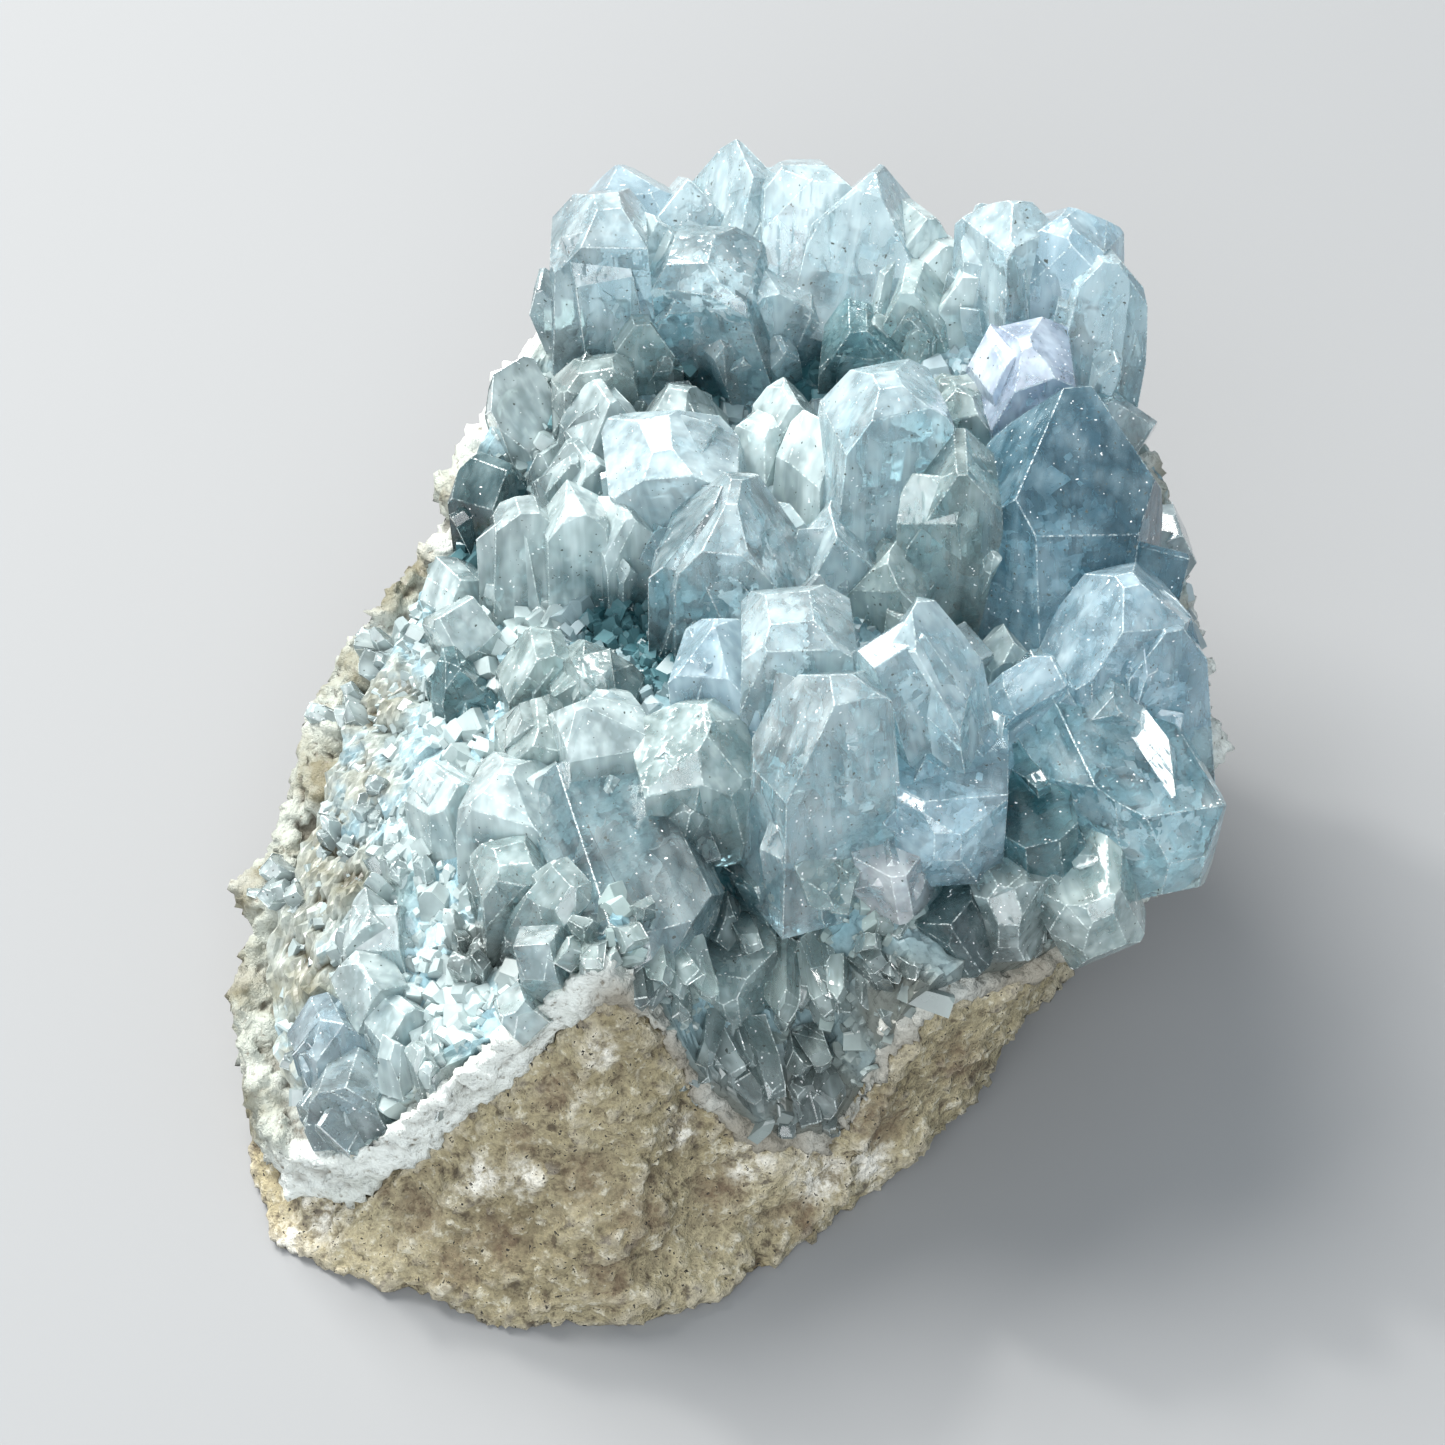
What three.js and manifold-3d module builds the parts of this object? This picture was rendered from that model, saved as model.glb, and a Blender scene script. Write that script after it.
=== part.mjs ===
// Celestite crystal cluster: a chunk broken from the wall of a geode. Grey-tan host rock lies on
// its flat underside, a thin white seam covers it, and a crust of pale blue celestite crystals
// grows from the seam. Millimetres, +Z up, +Y away from the viewer, origin in the resting face.
import * as THREE from "three";
import { mergeVertices } from "three/addons/utils/BufferGeometryUtils.js";
import Module from "manifold-3d";

// Driving dimensions
const CRUST_CENTRE_HEIGHT = 31;
const CRUST_BED = 2.2;
const SEAM_THIN = 1;
const SEAM_THICK = 3.4;
const SEAM_THICK_AT = THREE.MathUtils.degToRad(226);
const SEAM_SPREAD = 0.6;
const LIP_RANGE = [140, 262];
const LIP_HEIGHT = 2.4;
const CLEARANCE = 0.3;
const BURIED = 1;
const DOME_POWER = 1.7;
const RAGGEDNESS = 0.75;
const RIM_RAGGEDNESS = 0.8;
const SMALLEST_DETAIL = 0.15;
const WIDEST_SECTOR = 14;
const FILLER_PITCH = 8.6;
const FILLER_CLEARANCE = 1.2;
const BREAK_SIZE = 40;

// Seen from above, one row for each direction, anticlockwise from +X:
// angle in degrees, radius of the crust's rim, height of the rim, radius of the resting face.
const OUTLINE = [
  [8, 36.5, 28, 30],
  [18, 38.0, 29, 32],
  [27, 38.5, 31, 33],
  [41, 39.5, 36, 34],
  [54, 39.5, 39, 33],
  [69, 36.5, 39, 33],
  [80, 37.0, 38, 33],
  [91, 37.5, 38, 34],
  [106, 38.0, 37, 34],
  [115, 35.5, 35, 32],
  [130, 32.0, 30, 28],
  [141, 29.5, 26, 27],
  [151, 30.0, 23, 27],
  [161, 31.0, 21, 29],
  [172, 31.5, 19, 30],
  [182, 32.5, 18, 32],
  [196, 36.5, 15, 36],
  [205, 40.0, 12, 40],
  [214, 43.0, 10, 44],
  [222, 44.5, 9, 47.5],
  [228, 42.0, 11, 46.5],
  [234, 38.5, 17, 45],
  [241, 34.5, 23, 44],
  [247, 32.0, 28, 44],
  [253, 30.5, 32, 42.5],
  [260, 29.5, 29, 41],
  [267, 29.5, 19, 38.5],
  [275, 30.5, 14, 35.5],
  [286, 30.5, 12, 32],
  [292, 31.0, 20, 30.5],
  [298, 30.5, 27, 30],
  [307, 31.0, 26, 28],
  [316, 32.0, 25, 27],
  [328, 34.5, 25, 27],
  [338, 37.0, 26, 28],
  [351, 36.5, 26, 29],
];

// Hollows and swells of the crust under its crystals: x, y, radius, height.
const SWELLS = [
  [3, 26, 8, -4],
  [-5, 8, 5, -3],
  [1, -17, 6, -4],
  [-18, 18, 5, -3],
  [20, -18, 5, -3],
  [8, 12, 9, 2],
  [24, 24, 8, 2],
];

// The view the crystals were laid out in: pixels of a square picture, looking down on the crust.
const PICTURE_CENTRE = 722.5;
const VIEW_ELEVATION = THREE.MathUtils.degToRad(50);
const VIEW_DISTANCE = 330;
const VIEW_TARGET = new THREE.Vector3(0, 0, 24);
const FOCAL_PIXELS = 4290;
const RIM_INSET = 2.5;

// Terminations: slopes of the two pairs of end faces in degrees, share of the width left flat.
const FORMS = {
  wedge: [52, 38, 0.12],
  block: [46, 33, 0.3],
  point: [60, 56, 0],
  chisel: [58, 24, 0.05],
};
const PRISM_CORNER = THREE.MathUtils.degToRad(38);
const TAPER = THREE.MathUtils.degToRad(2.5);
const SIDE_TURN = THREE.MathUtils.degToRad(7);
const END_TILT = 11;
const ROOT = 2.5;
const CUT_CORNERS_FROM = 9;
const CUT_ENDS_FROM = 6.4;

// The crystals a viewer notices, from the back of the cluster to the front: picture column and
// row of the tip, then of the foot, slope towards the viewer out of the picture, width, depth,
// roll, form.
const CRYSTALS = [
  [620, 170, 625, 235, 35, 7.5, 6, 20, "wedge"],
  [733, 140, 738, 225, 30, 7.5, 6.5, 45, "point"],
  [684, 182, 686, 240, 35, 6, 5, 10, "wedge"],
  [768, 172, 768, 225, 38, 5, 4.5, 35, "wedge"],
  [806, 170, 812, 245, 38, 7, 6, 8, "block"],
  [880, 176, 872, 265, 38, 8.5, 7, -15, "block"],
  [800, 252, 796, 212, 66, 11, 7.5, -31, "block"],
  [910, 214, 905, 275, 42, 5.5, 5, 25, "wedge"],
  [562, 232, 575, 285, 35, 4.5, 4, 40, "block"],
  [600, 214, 606, 330, 42, 7.5, 7, 8, "block"],
  [645, 212, 646, 300, 40, 5.5, 5, 30, "wedge"],
  [692, 256, 724, 345, 46, 9, 7.5, -12, "block"],
  [768, 282, 774, 350, 46, 6, 5, 20, "wedge"],
  [643, 310, 640, 362, 42, 5, 5, 12, "wedge"],
  [905, 282, 915, 338, 48, 5.5, 4, -15, "chisel"],
  [942, 240, 945, 285, 42, 5, 4.5, 20, "block"],
  [978, 264, 980, 320, 42, 5.5, 5, -10, "wedge"],
  [1016, 204, 1018, 330, 34, 7.5, 6.5, 32, "wedge"],
  [1064, 218, 1076, 345, 35, 7, 7, -20, "block"],
  [1102, 256, 1098, 370, 36, 6, 6, 15, "block"],
  [860, 322, 862, 368, 50, 6, 4.5, 0, "wedge"],
  [590, 372, 600, 420, 48, 6.5, 4.5, 5, "block"],
  [1012, 350, 1036, 425, 56, 7, 6, 10, "block"],
  [1066, 398, 1062, 620, 30, 12.5, 10, 12, "point"],
  [885, 382, 882, 525, 40, 8.2, 7, 15, "block"],
  [962, 388, 966, 445, 45, 5.5, 5, -8, "wedge"],
  [790, 395, 790, 465, 44, 4.5, 4, 20, "wedge"],
  [816, 422, 816, 500, 42, 4.2, 4, 45, "point"],
  [762, 425, 760, 480, 46, 4.5, 3.5, 60, "wedge"],
  [612, 398, 610, 462, 44, 5.5, 5, 25, "wedge"],
  [684, 390, 682, 445, 42, 7, 4.5, -12, "chisel"],
  [664, 438, 690, 515, 52, 10, 7.5, 4, "block"],
  [582, 452, 576, 506, 44, 5, 4.5, 35, "wedge"],
  [736, 502, 730, 618, 46, 11, 8.5, -8, "block"],
  [528, 502, 525, 598, 36, 4.8, 4.2, 12, "block"],
  [576, 502, 576, 588, 46, 4.6, 4.2, 8, "block"],
  [621, 505, 622, 580, 46, 4.6, 4, 30, "wedge"],
  [490, 465, 500, 535, 36, 5, 4.5, 50, "wedge"],
  [832, 522, 836, 588, 46, 6, 5, 10, "wedge"],
  [950, 458, 945, 596, 40, 6.2, 6, 0, "wedge"],
  [890, 548, 902, 612, 48, 6, 5, -30, "chisel"],
  [716, 628, 742, 748, 42, 6.5, 5.5, -10, "wedge"],
  [696, 658, 716, 745, 36, 3.4, 5, 0, "chisel"],
  [796, 610, 802, 735, 46, 8, 6.5, 6, "block"],
  [818, 668, 832, 868, 34, 8.2, 7, 24, "wedge"],
  [905, 615, 934, 765, 46, 7.5, 6, -24, "wedge"],
  [1050, 668, 990, 730, 42, 4.5, 3.4, 30, "chisel"],
  [1006, 634, 1006, 672, 46, 4.2, 3.6, 20, "wedge"],
  [1112, 578, 1106, 715, 40, 9.5, 8, 22, "wedge"],
  [1144, 612, 1150, 745, 34, 6.2, 6.5, 12, "wedge"],
  [590, 652, 596, 706, 44, 6, 5, -10, "wedge"],
  [536, 644, 540, 700, 42, 5, 4.5, 10, "block"],
  [602, 702, 606, 786, 46, 6.5, 6, 22, "block"],
  [540, 716, 542, 780, 46, 5.5, 5, 5, "wedge"],
  [516, 766, 522, 842, 44, 7, 6, -15, "block"],
  [692, 728, 700, 805, 52, 8.5, 7, 12, "block"],
  [448, 770, 456, 826, 36, 5, 4.5, 40, "wedge"],
  [458, 655, 470, 700, 34, 5, 4, 10, "chisel"],
  [1152, 868, 1076, 714, 40, 10.8, 8.6, -6, "block"],
  [944, 852, 942, 764, 58, 7.8, 7, 0, "block"],
  [1040, 866, 1020, 796, 52, 5, 5, 8, "block"],
  [822, 890, 832, 826, 52, 6, 5, 20, "block"],
  [902, 896, 890, 852, 62, 5.5, 4, 10, "chisel"],
  [672, 968, 604, 822, 36, 11.5, 7.6, 0, "block"],
  [520, 852, 524, 915, 46, 6, 5, 15, "block"],
  [576, 876, 560, 930, 46, 4.5, 4, 40, "wedge"],
  [466, 900, 476, 955, 40, 5.5, 4.5, 0, "wedge"],
  [770, 906, 764, 865, 56, 4.5, 4, 15, "wedge"],
  [1008, 930, 1004, 872, 60, 6.5, 6, 0, "block"],
  [1098, 934, 1080, 878, 52, 7, 6, 20, "block"],
  [1056, 962, 1042, 905, 54, 5.5, 5, -10, "wedge"],
  [958, 948, 950, 905, 60, 5.5, 5, 30, "wedge"],
  [740, 1008, 732, 952, 46, 6, 5, 8, "block"],
  [684, 1040, 668, 985, 30, 4.8, 4.2, 20, "block"],
  [836, 1052, 824, 972, 32, 6, 5, -8, "block"],
  [886, 1030, 874, 978, 44, 4.5, 4, 25, "wedge"],
  [732, 1112, 724, 1048, 40, 5.5, 5, 0, "wedge"],
  [818, 1140, 806, 1076, 40, 6, 5, 30, "block"],
  [432, 1012, 432, 1072, 38, 6, 4.5, 5, "block"],
  [395, 1000, 398, 1040, 38, 4, 3.5, 40, "wedge"],
  [330, 1008, 338, 1050, 34, 6, 4.5, 20, "block"],
  [336, 1068, 350, 1104, 36, 6, 4.5, -10, "block"],
  [372, 900, 380, 950, 36, 5, 4, 10, "wedge"],
  [392, 826, 402, 870, 34, 4.5, 4, 30, "wedge"],
];

// Stretches of the rim where lumps of the white seam stand out: from and to in degrees, step,
// smallest and largest radius, deepest place inside the rim.
const LUMPY_RIM = [
  [-12, 36, 9, 2, 3.4, 1.4],
  [108, 150, 11, 1.8, 2.8, 1.4],
  [152, 222, 8, 2.2, 3.4, 2.4],
];

// Flat breaks in the rock's walls: direction in degrees, height above the resting face, how far
// the break reaches in, turn about the upright, tilt.
const BREAKS = [
  [16, 14, 1.3, 6, -5],
  [46, 8, 1.5, -7, 10],
  [88, 12, 1.5, -8, 7],
  [126, 12, 1.3, -4, -8],
  [150, 9, 1.0, 8, 6],
  [322, 9, 1.2, 6, -6],
  [346, 16, 1.2, -6, 6],
];

// The same numbers on every run.
function randomFrom(seed) {
  let state = seed;
  return () => {
    state = (state * 1664525 + 1013904223) % 4294967296;
    return state / 4294967296;
  };
}

// A column of OUTLINE at any direction, in straight steps between its rows.
function outlineAt(angle, column) {
  const degrees = THREE.MathUtils.euclideanModulo(THREE.MathUtils.radToDeg(angle), 360);
  const next = OUTLINE.findIndex((row) => row[0] > degrees);
  const high = OUTLINE[next < 0 ? 0 : next];
  const low = OUTLINE[(next < 0 ? OUTLINE.length : next === 0 ? OUTLINE.length : next) - 1];
  const span = THREE.MathUtils.euclideanModulo(high[0] - low[0], 360);
  const share = THREE.MathUtils.euclideanModulo(degrees - low[0], 360) / span;
  return THREE.MathUtils.lerp(low[column], high[column], share);
}
const rimRadius = (angle) => outlineAt(angle, 1);
const rimHeight = (angle) => outlineAt(angle, 2);
const baseRadius = (angle) => outlineAt(angle, 3);

// Height of the crust's surface between its crystals.
function crustHeight(x, y) {
  const angle = Math.atan2(y, x);
  const share = Math.min(Math.hypot(x, y) / rimRadius(angle), 1);
  const level = THREE.MathUtils.lerp(CRUST_CENTRE_HEIGHT, rimHeight(angle), share ** DOME_POWER);
  return SWELLS.reduce(
    (height, [sx, sy, radius, rise]) =>
      height + rise * Math.exp(-((x - sx) ** 2 + (y - sy) ** 2) / radius ** 2),
    level,
  );
}

// A closed body from rings of points: the first and last rings are single points.
function bodyOfRings(rings) {
  const positions = [];
  const starts = rings.map((ring) => {
    const start = positions.length / 3;
    ring.forEach((p) => positions.push(p.x, p.y, p.z));
    return start;
  });
  const index = [];
  for (let k = 0; k + 1 < rings.length; k++) {
    for (let i = 0; i < SECTORS; i++) {
      const j = (i + 1) % SECTORS;
      const [low, high] = [starts[k], starts[k + 1]];
      if (k === 0) {
        index.push(low, high + j, high + i);
      } else if (k + 2 === rings.length) {
        index.push(low + i, low + j, high);
      } else {
        index.push(low + i, low + j, high + j, low + i, high + j, high + i);
      }
    }
  }
  const geometry = new THREE.BufferGeometry();
  geometry.setAttribute("position", new THREE.Float32BufferAttribute(positions, 3));
  geometry.setIndex(index);
  return geometry;
}

// The directions of OUTLINE, with one more halfway where two of them lie far apart.
const DIRECTIONS = OUTLINE.flatMap(([angle], i) => {
  const next = OUTLINE[(i + 1) % OUTLINE.length][0];
  const gap = THREE.MathUtils.euclideanModulo(next - angle, 360);
  const here = THREE.MathUtils.degToRad(angle);
  return gap > WIDEST_SECTOR ? [here, here + THREE.MathUtils.degToRad(gap / 2)] : [here];
});
const SECTORS = DIRECTIONS.length;
const TOP_SHARES = [0.93, 0.66, 0.33];

// How far each direction of the rim stands out and up of its smooth line.
const ragged = randomFrom(5);
const RIM_OFFSETS = DIRECTIONS.map(() => [
  (ragged() - 0.5) * 2 * RIM_RAGGEDNESS,
  (ragged() - 0.5) * 2 * RIM_RAGGEDNESS,
]);

// A ring of points at a share of the rim's radius, at the crust's height less a depth.
function crustRing(share, depthAt, widen = 0) {
  return DIRECTIONS.map((angle, i) => {
    const [outwards, upwards] = share > 0.9 ? RIM_OFFSETS[i] : [0, 0];
    const radius = rimRadius(angle) * share;
    const [x, y] = [Math.cos(angle) * radius, Math.sin(angle) * radius];
    const out = radius + widen + outwards;
    const z = crustHeight(x, y) - depthAt(angle) + upwards;
    return new THREE.Vector3(Math.cos(angle) * out, Math.sin(angle) * out, z);
  });
}

// The seam is thick from the left side to the front left corner, and thin round the rest.
function seamThickness(angle) {
  const turn = THREE.MathUtils.euclideanModulo(angle, 2 * Math.PI) - SEAM_THICK_AT;
  const corner = (SEAM_THICK - SEAM_THIN) * Math.exp(-((turn / SEAM_SPREAD) ** 2));
  return SEAM_THIN + corner + 0.2 * Math.sin(5 * angle) + 0.2 * Math.sin(11 * angle);
}
const rockDepth = (angle) => CRUST_BED + seamThickness(angle) + CLEARANCE;

// The host rock. Grown by a clearance, the same shape cuts what lies on it.
function rockGeometry(grown = 0) {
  const random = randomFrom(11);
  const rough = () => (random() - 0.5) * 2 * RAGGEDNESS;
  const rings = [[new THREE.Vector3(0, 0, 0)]];
  rings.push(
    DIRECTIONS.map((angle) => {
      const radius = baseRadius(angle) - 1 + rough() * 0.5 + grown;
      return new THREE.Vector3(Math.cos(angle) * radius, Math.sin(angle) * radius, 0);
    }),
  );
  const wallShares = [0.15, 0.45, 0.75];
  for (const share of wallShares) {
    rings.push(
      DIRECTIONS.map((angle) => {
        const radius =
          THREE.MathUtils.lerp(baseRadius(angle), rimRadius(angle), share) + rough() + grown;
        const top = rimHeight(angle) - rockDepth(angle) - BURIED;
        const z = top * share + rough() * 0.4;
        return new THREE.Vector3(Math.cos(angle) * radius, Math.sin(angle) * radius, z);
      }),
    );
  }
  const lowered = (angle) => rockDepth(angle) - grown;
  rings.push(crustRing(1, lowered, 0.4 + grown));
  TOP_SHARES.forEach((share) => rings.push(crustRing(share, lowered)));
  rings.push([new THREE.Vector3(0, 0, crustHeight(0, 0) - rockDepth(0) + grown)]);
  return bodyOfRings(rings);
}

// How far the seam's edge stands up through the crust: all of it at the left and the front left.
function lipHeight(angle) {
  const degrees = THREE.MathUtils.euclideanModulo(THREE.MathUtils.radToDeg(angle), 360);
  const [from, to] = LIP_RANGE;
  const inside = Math.min(degrees - from, to - degrees);
  return LIP_HEIGHT * THREE.MathUtils.smoothstep(inside, 0, 12);
}

// A layer that follows the crust, from a depth under its surface down to another, with its top
// edge raised by a lip.
function layerGeometry(topDepth, bottomDepth, widen, lip = () => 0) {
  const inner = [...TOP_SHARES].reverse();
  const edgeDepth = (angle) => topDepth(angle) - lip(angle);
  const centre = (depth) => [new THREE.Vector3(0, 0, crustHeight(0, 0) - depth(0))];
  return bodyOfRings([
    centre(bottomDepth),
    ...inner.map((share) => crustRing(share, bottomDepth)),
    crustRing(1, bottomDepth, widen),
    crustRing(1, edgeDepth, widen),
    ...TOP_SHARES.map((share) => crustRing(share, topDepth)),
    centre(topDepth),
  ]);
}

// A convex body from half-spaces [nx, ny, nz, d]: every three planes that meet give a corner.
function convexBody(planes) {
  const corners = [];
  const inside = (p) => planes.every(([x, y, z, d]) => x * p.x + y * p.y + z * p.z < d + 1e-6);
  for (let i = 0; i < planes.length; i++) {
    for (let j = i + 1; j < planes.length; j++) {
      for (let k = j + 1; k < planes.length; k++) {
        const rows = [planes[i], planes[j], planes[k]];
        const matrix = new THREE.Matrix3().set(...rows.flatMap((row) => row.slice(0, 3)));
        if (Math.abs(matrix.determinant()) < 1e-6) continue;
        const p = new THREE.Vector3(...rows.map((row) => row[3]));
        p.applyMatrix3(matrix.invert());
        if (inside(p) && !corners.some((c) => c.distanceTo(p) < 1e-4)) corners.push(p);
      }
    }
  }
  const index = [];
  for (const [x, y, z, d] of planes) {
    const normal = new THREE.Vector3(x, y, z);
    const face = corners.map((_, i) => i).filter((i) => Math.abs(normal.dot(corners[i]) - d) < 1e-4);
    if (face.length < 3) continue;
    const middle = new THREE.Vector3();
    face.forEach((i) => middle.addScaledVector(corners[i], 1 / face.length));
    const side = corners[face[0]].clone().sub(middle).normalize();
    const across = normal.clone().cross(side);
    const turn = (i) => {
      const from = corners[i].clone().sub(middle);
      return Math.atan2(from.dot(across), from.dot(side));
    };
    face.sort((a, b) => turn(a) - turn(b));
    for (let n = 1; n + 1 < face.length; n++) index.push(face[0], face[n], face[n + 1]);
  }
  const geometry = new THREE.BufferGeometry();
  geometry.setAttribute(
    "position",
    new THREE.Float32BufferAttribute(corners.flatMap((c) => c.toArray()), 3),
  );
  geometry.setIndex(index);
  return geometry;
}

// One crystal with its tip at the origin and its axis along +Z: side faces that narrow towards
// the tip, one or two pairs of end faces and, on a wide crystal, prism faces on the corners of
// its sides. No two grow quite alike.
function crystalGeometry(length, width, depth, form, random) {
  const [slopeU, slopeV, flat] = FORMS[form];
  const vary = (amount) => (random() - 0.5) * 2 * amount;
  const planes = [
    [0, 0, 1, 0],
    [0, 0, -1, length + ROOT],
  ];
  const side = (x, y, half) => {
    const lean = TAPER * (1 + vary(1));
    const turn = vary(SIDE_TURN);
    const outX = x * Math.cos(turn) - y * Math.sin(turn);
    const outY = x * Math.sin(turn) + y * Math.cos(turn);
    const level = Math.cos(lean);
    planes.push([outX * level, outY * level, Math.sin(lean), half * level]);
  };
  const end = (x, y, half, slope) => {
    const tilt = THREE.MathUtils.degToRad(slope + vary(END_TILT));
    const reach = Math.sin(tilt) * half * Math.max(flat + vary(0.34), 0);
    planes.push([x * Math.sin(tilt), y * Math.sin(tilt), Math.cos(tilt), reach]);
  };
  for (const sign of [1, -1]) {
    side(sign, 0, width / 2);
    side(0, sign, depth / 2);
    end(sign, 0, width / 2, slopeU);
    if (width > CUT_ENDS_FROM) end(0, sign, depth / 2, slopeV);
    for (const other of width > CUT_CORNERS_FROM ? [1, -1] : []) {
      const [x, y] = [sign * Math.cos(PRISM_CORNER), other * Math.sin(PRISM_CORNER)];
      const reach = (Math.abs(x) * width + Math.abs(y) * depth) / 2;
      planes.push([x, y, 0, reach * (0.88 + vary(0.07))]);
    }
  }
  return convexBody(planes);
}

const EYE = VIEW_TARGET.clone().add(
  new THREE.Vector3(0, -Math.cos(VIEW_ELEVATION), Math.sin(VIEW_ELEVATION)).multiplyScalar(
    VIEW_DISTANCE,
  ),
);

// The picture's own directions: to its right, up it, and into it.
const RIGHT = new THREE.Vector3(1, 0, 0);
const UP = new THREE.Vector3(0, Math.sin(VIEW_ELEVATION), Math.cos(VIEW_ELEVATION));
const INTO = new THREE.Vector3(0, Math.cos(VIEW_ELEVATION), -Math.sin(VIEW_ELEVATION));

// The point of the crust seen at a pixel, on a sheet that runs on beyond the rim.
function seenAt(column, row) {
  const sight = INTO.clone()
    .multiplyScalar(FOCAL_PIXELS)
    .addScaledVector(RIGHT, column - PICTURE_CENTRE)
    .addScaledVector(UP, PICTURE_CENTRE - row)
    .normalize();
  const at = (distance) => EYE.clone().addScaledVector(sight, distance);
  let distance = VIEW_DISTANCE * 0.75;
  while (at(distance).z > crustHeight(at(distance).x, at(distance).y)) distance += 0.5;
  return at(distance);
}

// A crystal's foot and tip, from the pixels they are seen at and its slope towards the viewer.
// A foot beyond the rim is drawn in under it, and the crystal leans out further.
function standing(tipColumn, tipRow, footColumn, footRow, slope) {
  const foot = seenAt(footColumn, footRow);
  const distance = foot.clone().sub(EYE).dot(INTO);
  const right = ((tipColumn - footColumn) * distance) / FOCAL_PIXELS;
  const up = ((footRow - tipRow) * distance) / FOCAL_PIXELS;
  const nearer = Math.hypot(right, up) * Math.tan(THREE.MathUtils.degToRad(slope));
  const tip = foot.clone().addScaledVector(RIGHT, right).addScaledVector(UP, up);
  tip.addScaledVector(INTO, -nearer);
  const most = rimRadius(Math.atan2(foot.y, foot.x)) - RIM_INSET;
  const out = Math.hypot(foot.x, foot.y);
  if (out > most) {
    foot.x *= most / out;
    foot.y *= most / out;
    foot.z = crustHeight(foot.x, foot.y);
  }
  return { foot, tip };
}

function leaning(right, back) {
  const toRight = Math.tan(THREE.MathUtils.degToRad(right));
  const toBack = Math.tan(THREE.MathUtils.degToRad(back));
  return new THREE.Vector3(toRight, toBack, 1).normalize();
}

// A crystal set on the crust: its width lies across the view until it is rolled about its axis.
function placed(foot, tip, width, depth, roll, form, random) {
  const axis = tip.clone().sub(foot);
  const length = axis.length();
  axis.normalize();
  const across = RIGHT.clone().addScaledVector(axis, -axis.x).normalize();
  const along = axis.clone().cross(across);
  const geometry = crystalGeometry(length, width, depth, form, random);
  geometry.rotateZ(THREE.MathUtils.degToRad(roll));
  geometry.applyMatrix4(new THREE.Matrix4().makeBasis(across, along, axis).setPosition(tip));
  return geometry;
}

// Small crystals between the noticed ones, leaning outwards as the crust curves.
function fillers(noticed) {
  const random = randomFrom(7);
  const made = [];
  const nearest = new THREE.Vector3();
  const forms = Object.keys(FORMS);
  for (let gx = -40; gx <= 40; gx += FILLER_PITCH) {
    for (let gy = -40; gy <= 42; gy += FILLER_PITCH) {
      const x = gx + (random() - 0.5) * FILLER_PITCH;
      const y = gy + (random() - 0.5) * FILLER_PITCH;
      const length = 3 + random() * 3;
      const width = 3 + random() * 2.6;
      const depth = width * (0.65 + random() * 0.3);
      const roll = random() * 180;
      const lean = leaning(x * 0.8 + (random() - 0.5) * 30, y * 0.7 - 8 + (random() - 0.5) * 30);
      const form = forms[Math.floor(random() * forms.length)];
      const angle = Math.atan2(y, x);
      if (Math.hypot(x, y) > rimRadius(angle) - 1.5) continue;
      const foot = new THREE.Vector3(x, y, crustHeight(x, y));
      const tip = foot.clone().addScaledVector(lean, length);
      const buried = ({ line, half }) =>
        line.closestPointToPoint(tip, true, nearest).distanceTo(tip) < half + FILLER_CLEARANCE;
      if (noticed.some(buried)) continue;
      made.push(placed(foot, tip, width, depth, roll, form, random));
    }
  }
  return made;
}

const wasm = await Module();
wasm.setup();

// A closed mesh as a solid that can be joined and cut, and back again.
function toSolid(geometry) {
  const bare = new THREE.BufferGeometry();
  bare.setAttribute("position", geometry.getAttribute("position"));
  bare.setIndex(geometry.getIndex());
  const merged = mergeVertices(bare, 1e-3);
  return new wasm.Manifold(
    new wasm.Mesh({
      numProp: 3,
      vertProperties: merged.attributes.position.array,
      triVerts: new Uint32Array(merged.index.array),
    }),
  );
}
function toGeometry(solid) {
  const { numProp, numVert, vertProperties, triVerts } = solid.getMesh();
  const positions = new Float32Array(numVert * 3);
  for (let i = 0; i < numVert; i++) {
    positions.set(vertProperties.subarray(i * numProp, i * numProp + 3), i * 3);
  }
  const geometry = new THREE.BufferGeometry();
  geometry.setAttribute("position", new THREE.BufferAttribute(positions, 3));
  geometry.setIndex(new THREE.BufferAttribute(triVerts, 1));
  return geometry;
}
function largest(solid) {
  const pieces = toSolid(toGeometry(solid)).decompose();
  return pieces.reduce((best, piece) => (piece.volume() > best.volume() ? piece : best));
}

const group = new THREE.Group();
function addPiece(name, geometry, material) {
  geometry.computeVertexNormals();
  const mesh = new THREE.Mesh(geometry, material);
  mesh.name = name;
  group.add(mesh);
}

const rockMaterial = new THREE.MeshStandardMaterial({ color: 0xa89e8c, roughness: 0.95 });
const seamMaterial = new THREE.MeshStandardMaterial({ color: 0xe4e6df, roughness: 0.7 });
const crystalMaterial = new THREE.MeshStandardMaterial({
  color: 0xa9c6d2,
  roughness: 0.12,
  flatShading: true,
});

// A rounded lump with a rough skin.
function lumpGeometry(radius, random) {
  const ball = new THREE.IcosahedronGeometry(radius, 0);
  ball.deleteAttribute("normal");
  ball.deleteAttribute("uv");
  const geometry = mergeVertices(ball, 1e-4);
  const points = geometry.getAttribute("position");
  for (let i = 0; i < points.count; i++) {
    const share = 0.8 + random() * 0.4;
    points.setXYZ(i, points.getX(i) * share, points.getY(i) * share, points.getZ(i) * share * 0.8);
  }
  return geometry;
}

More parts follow.
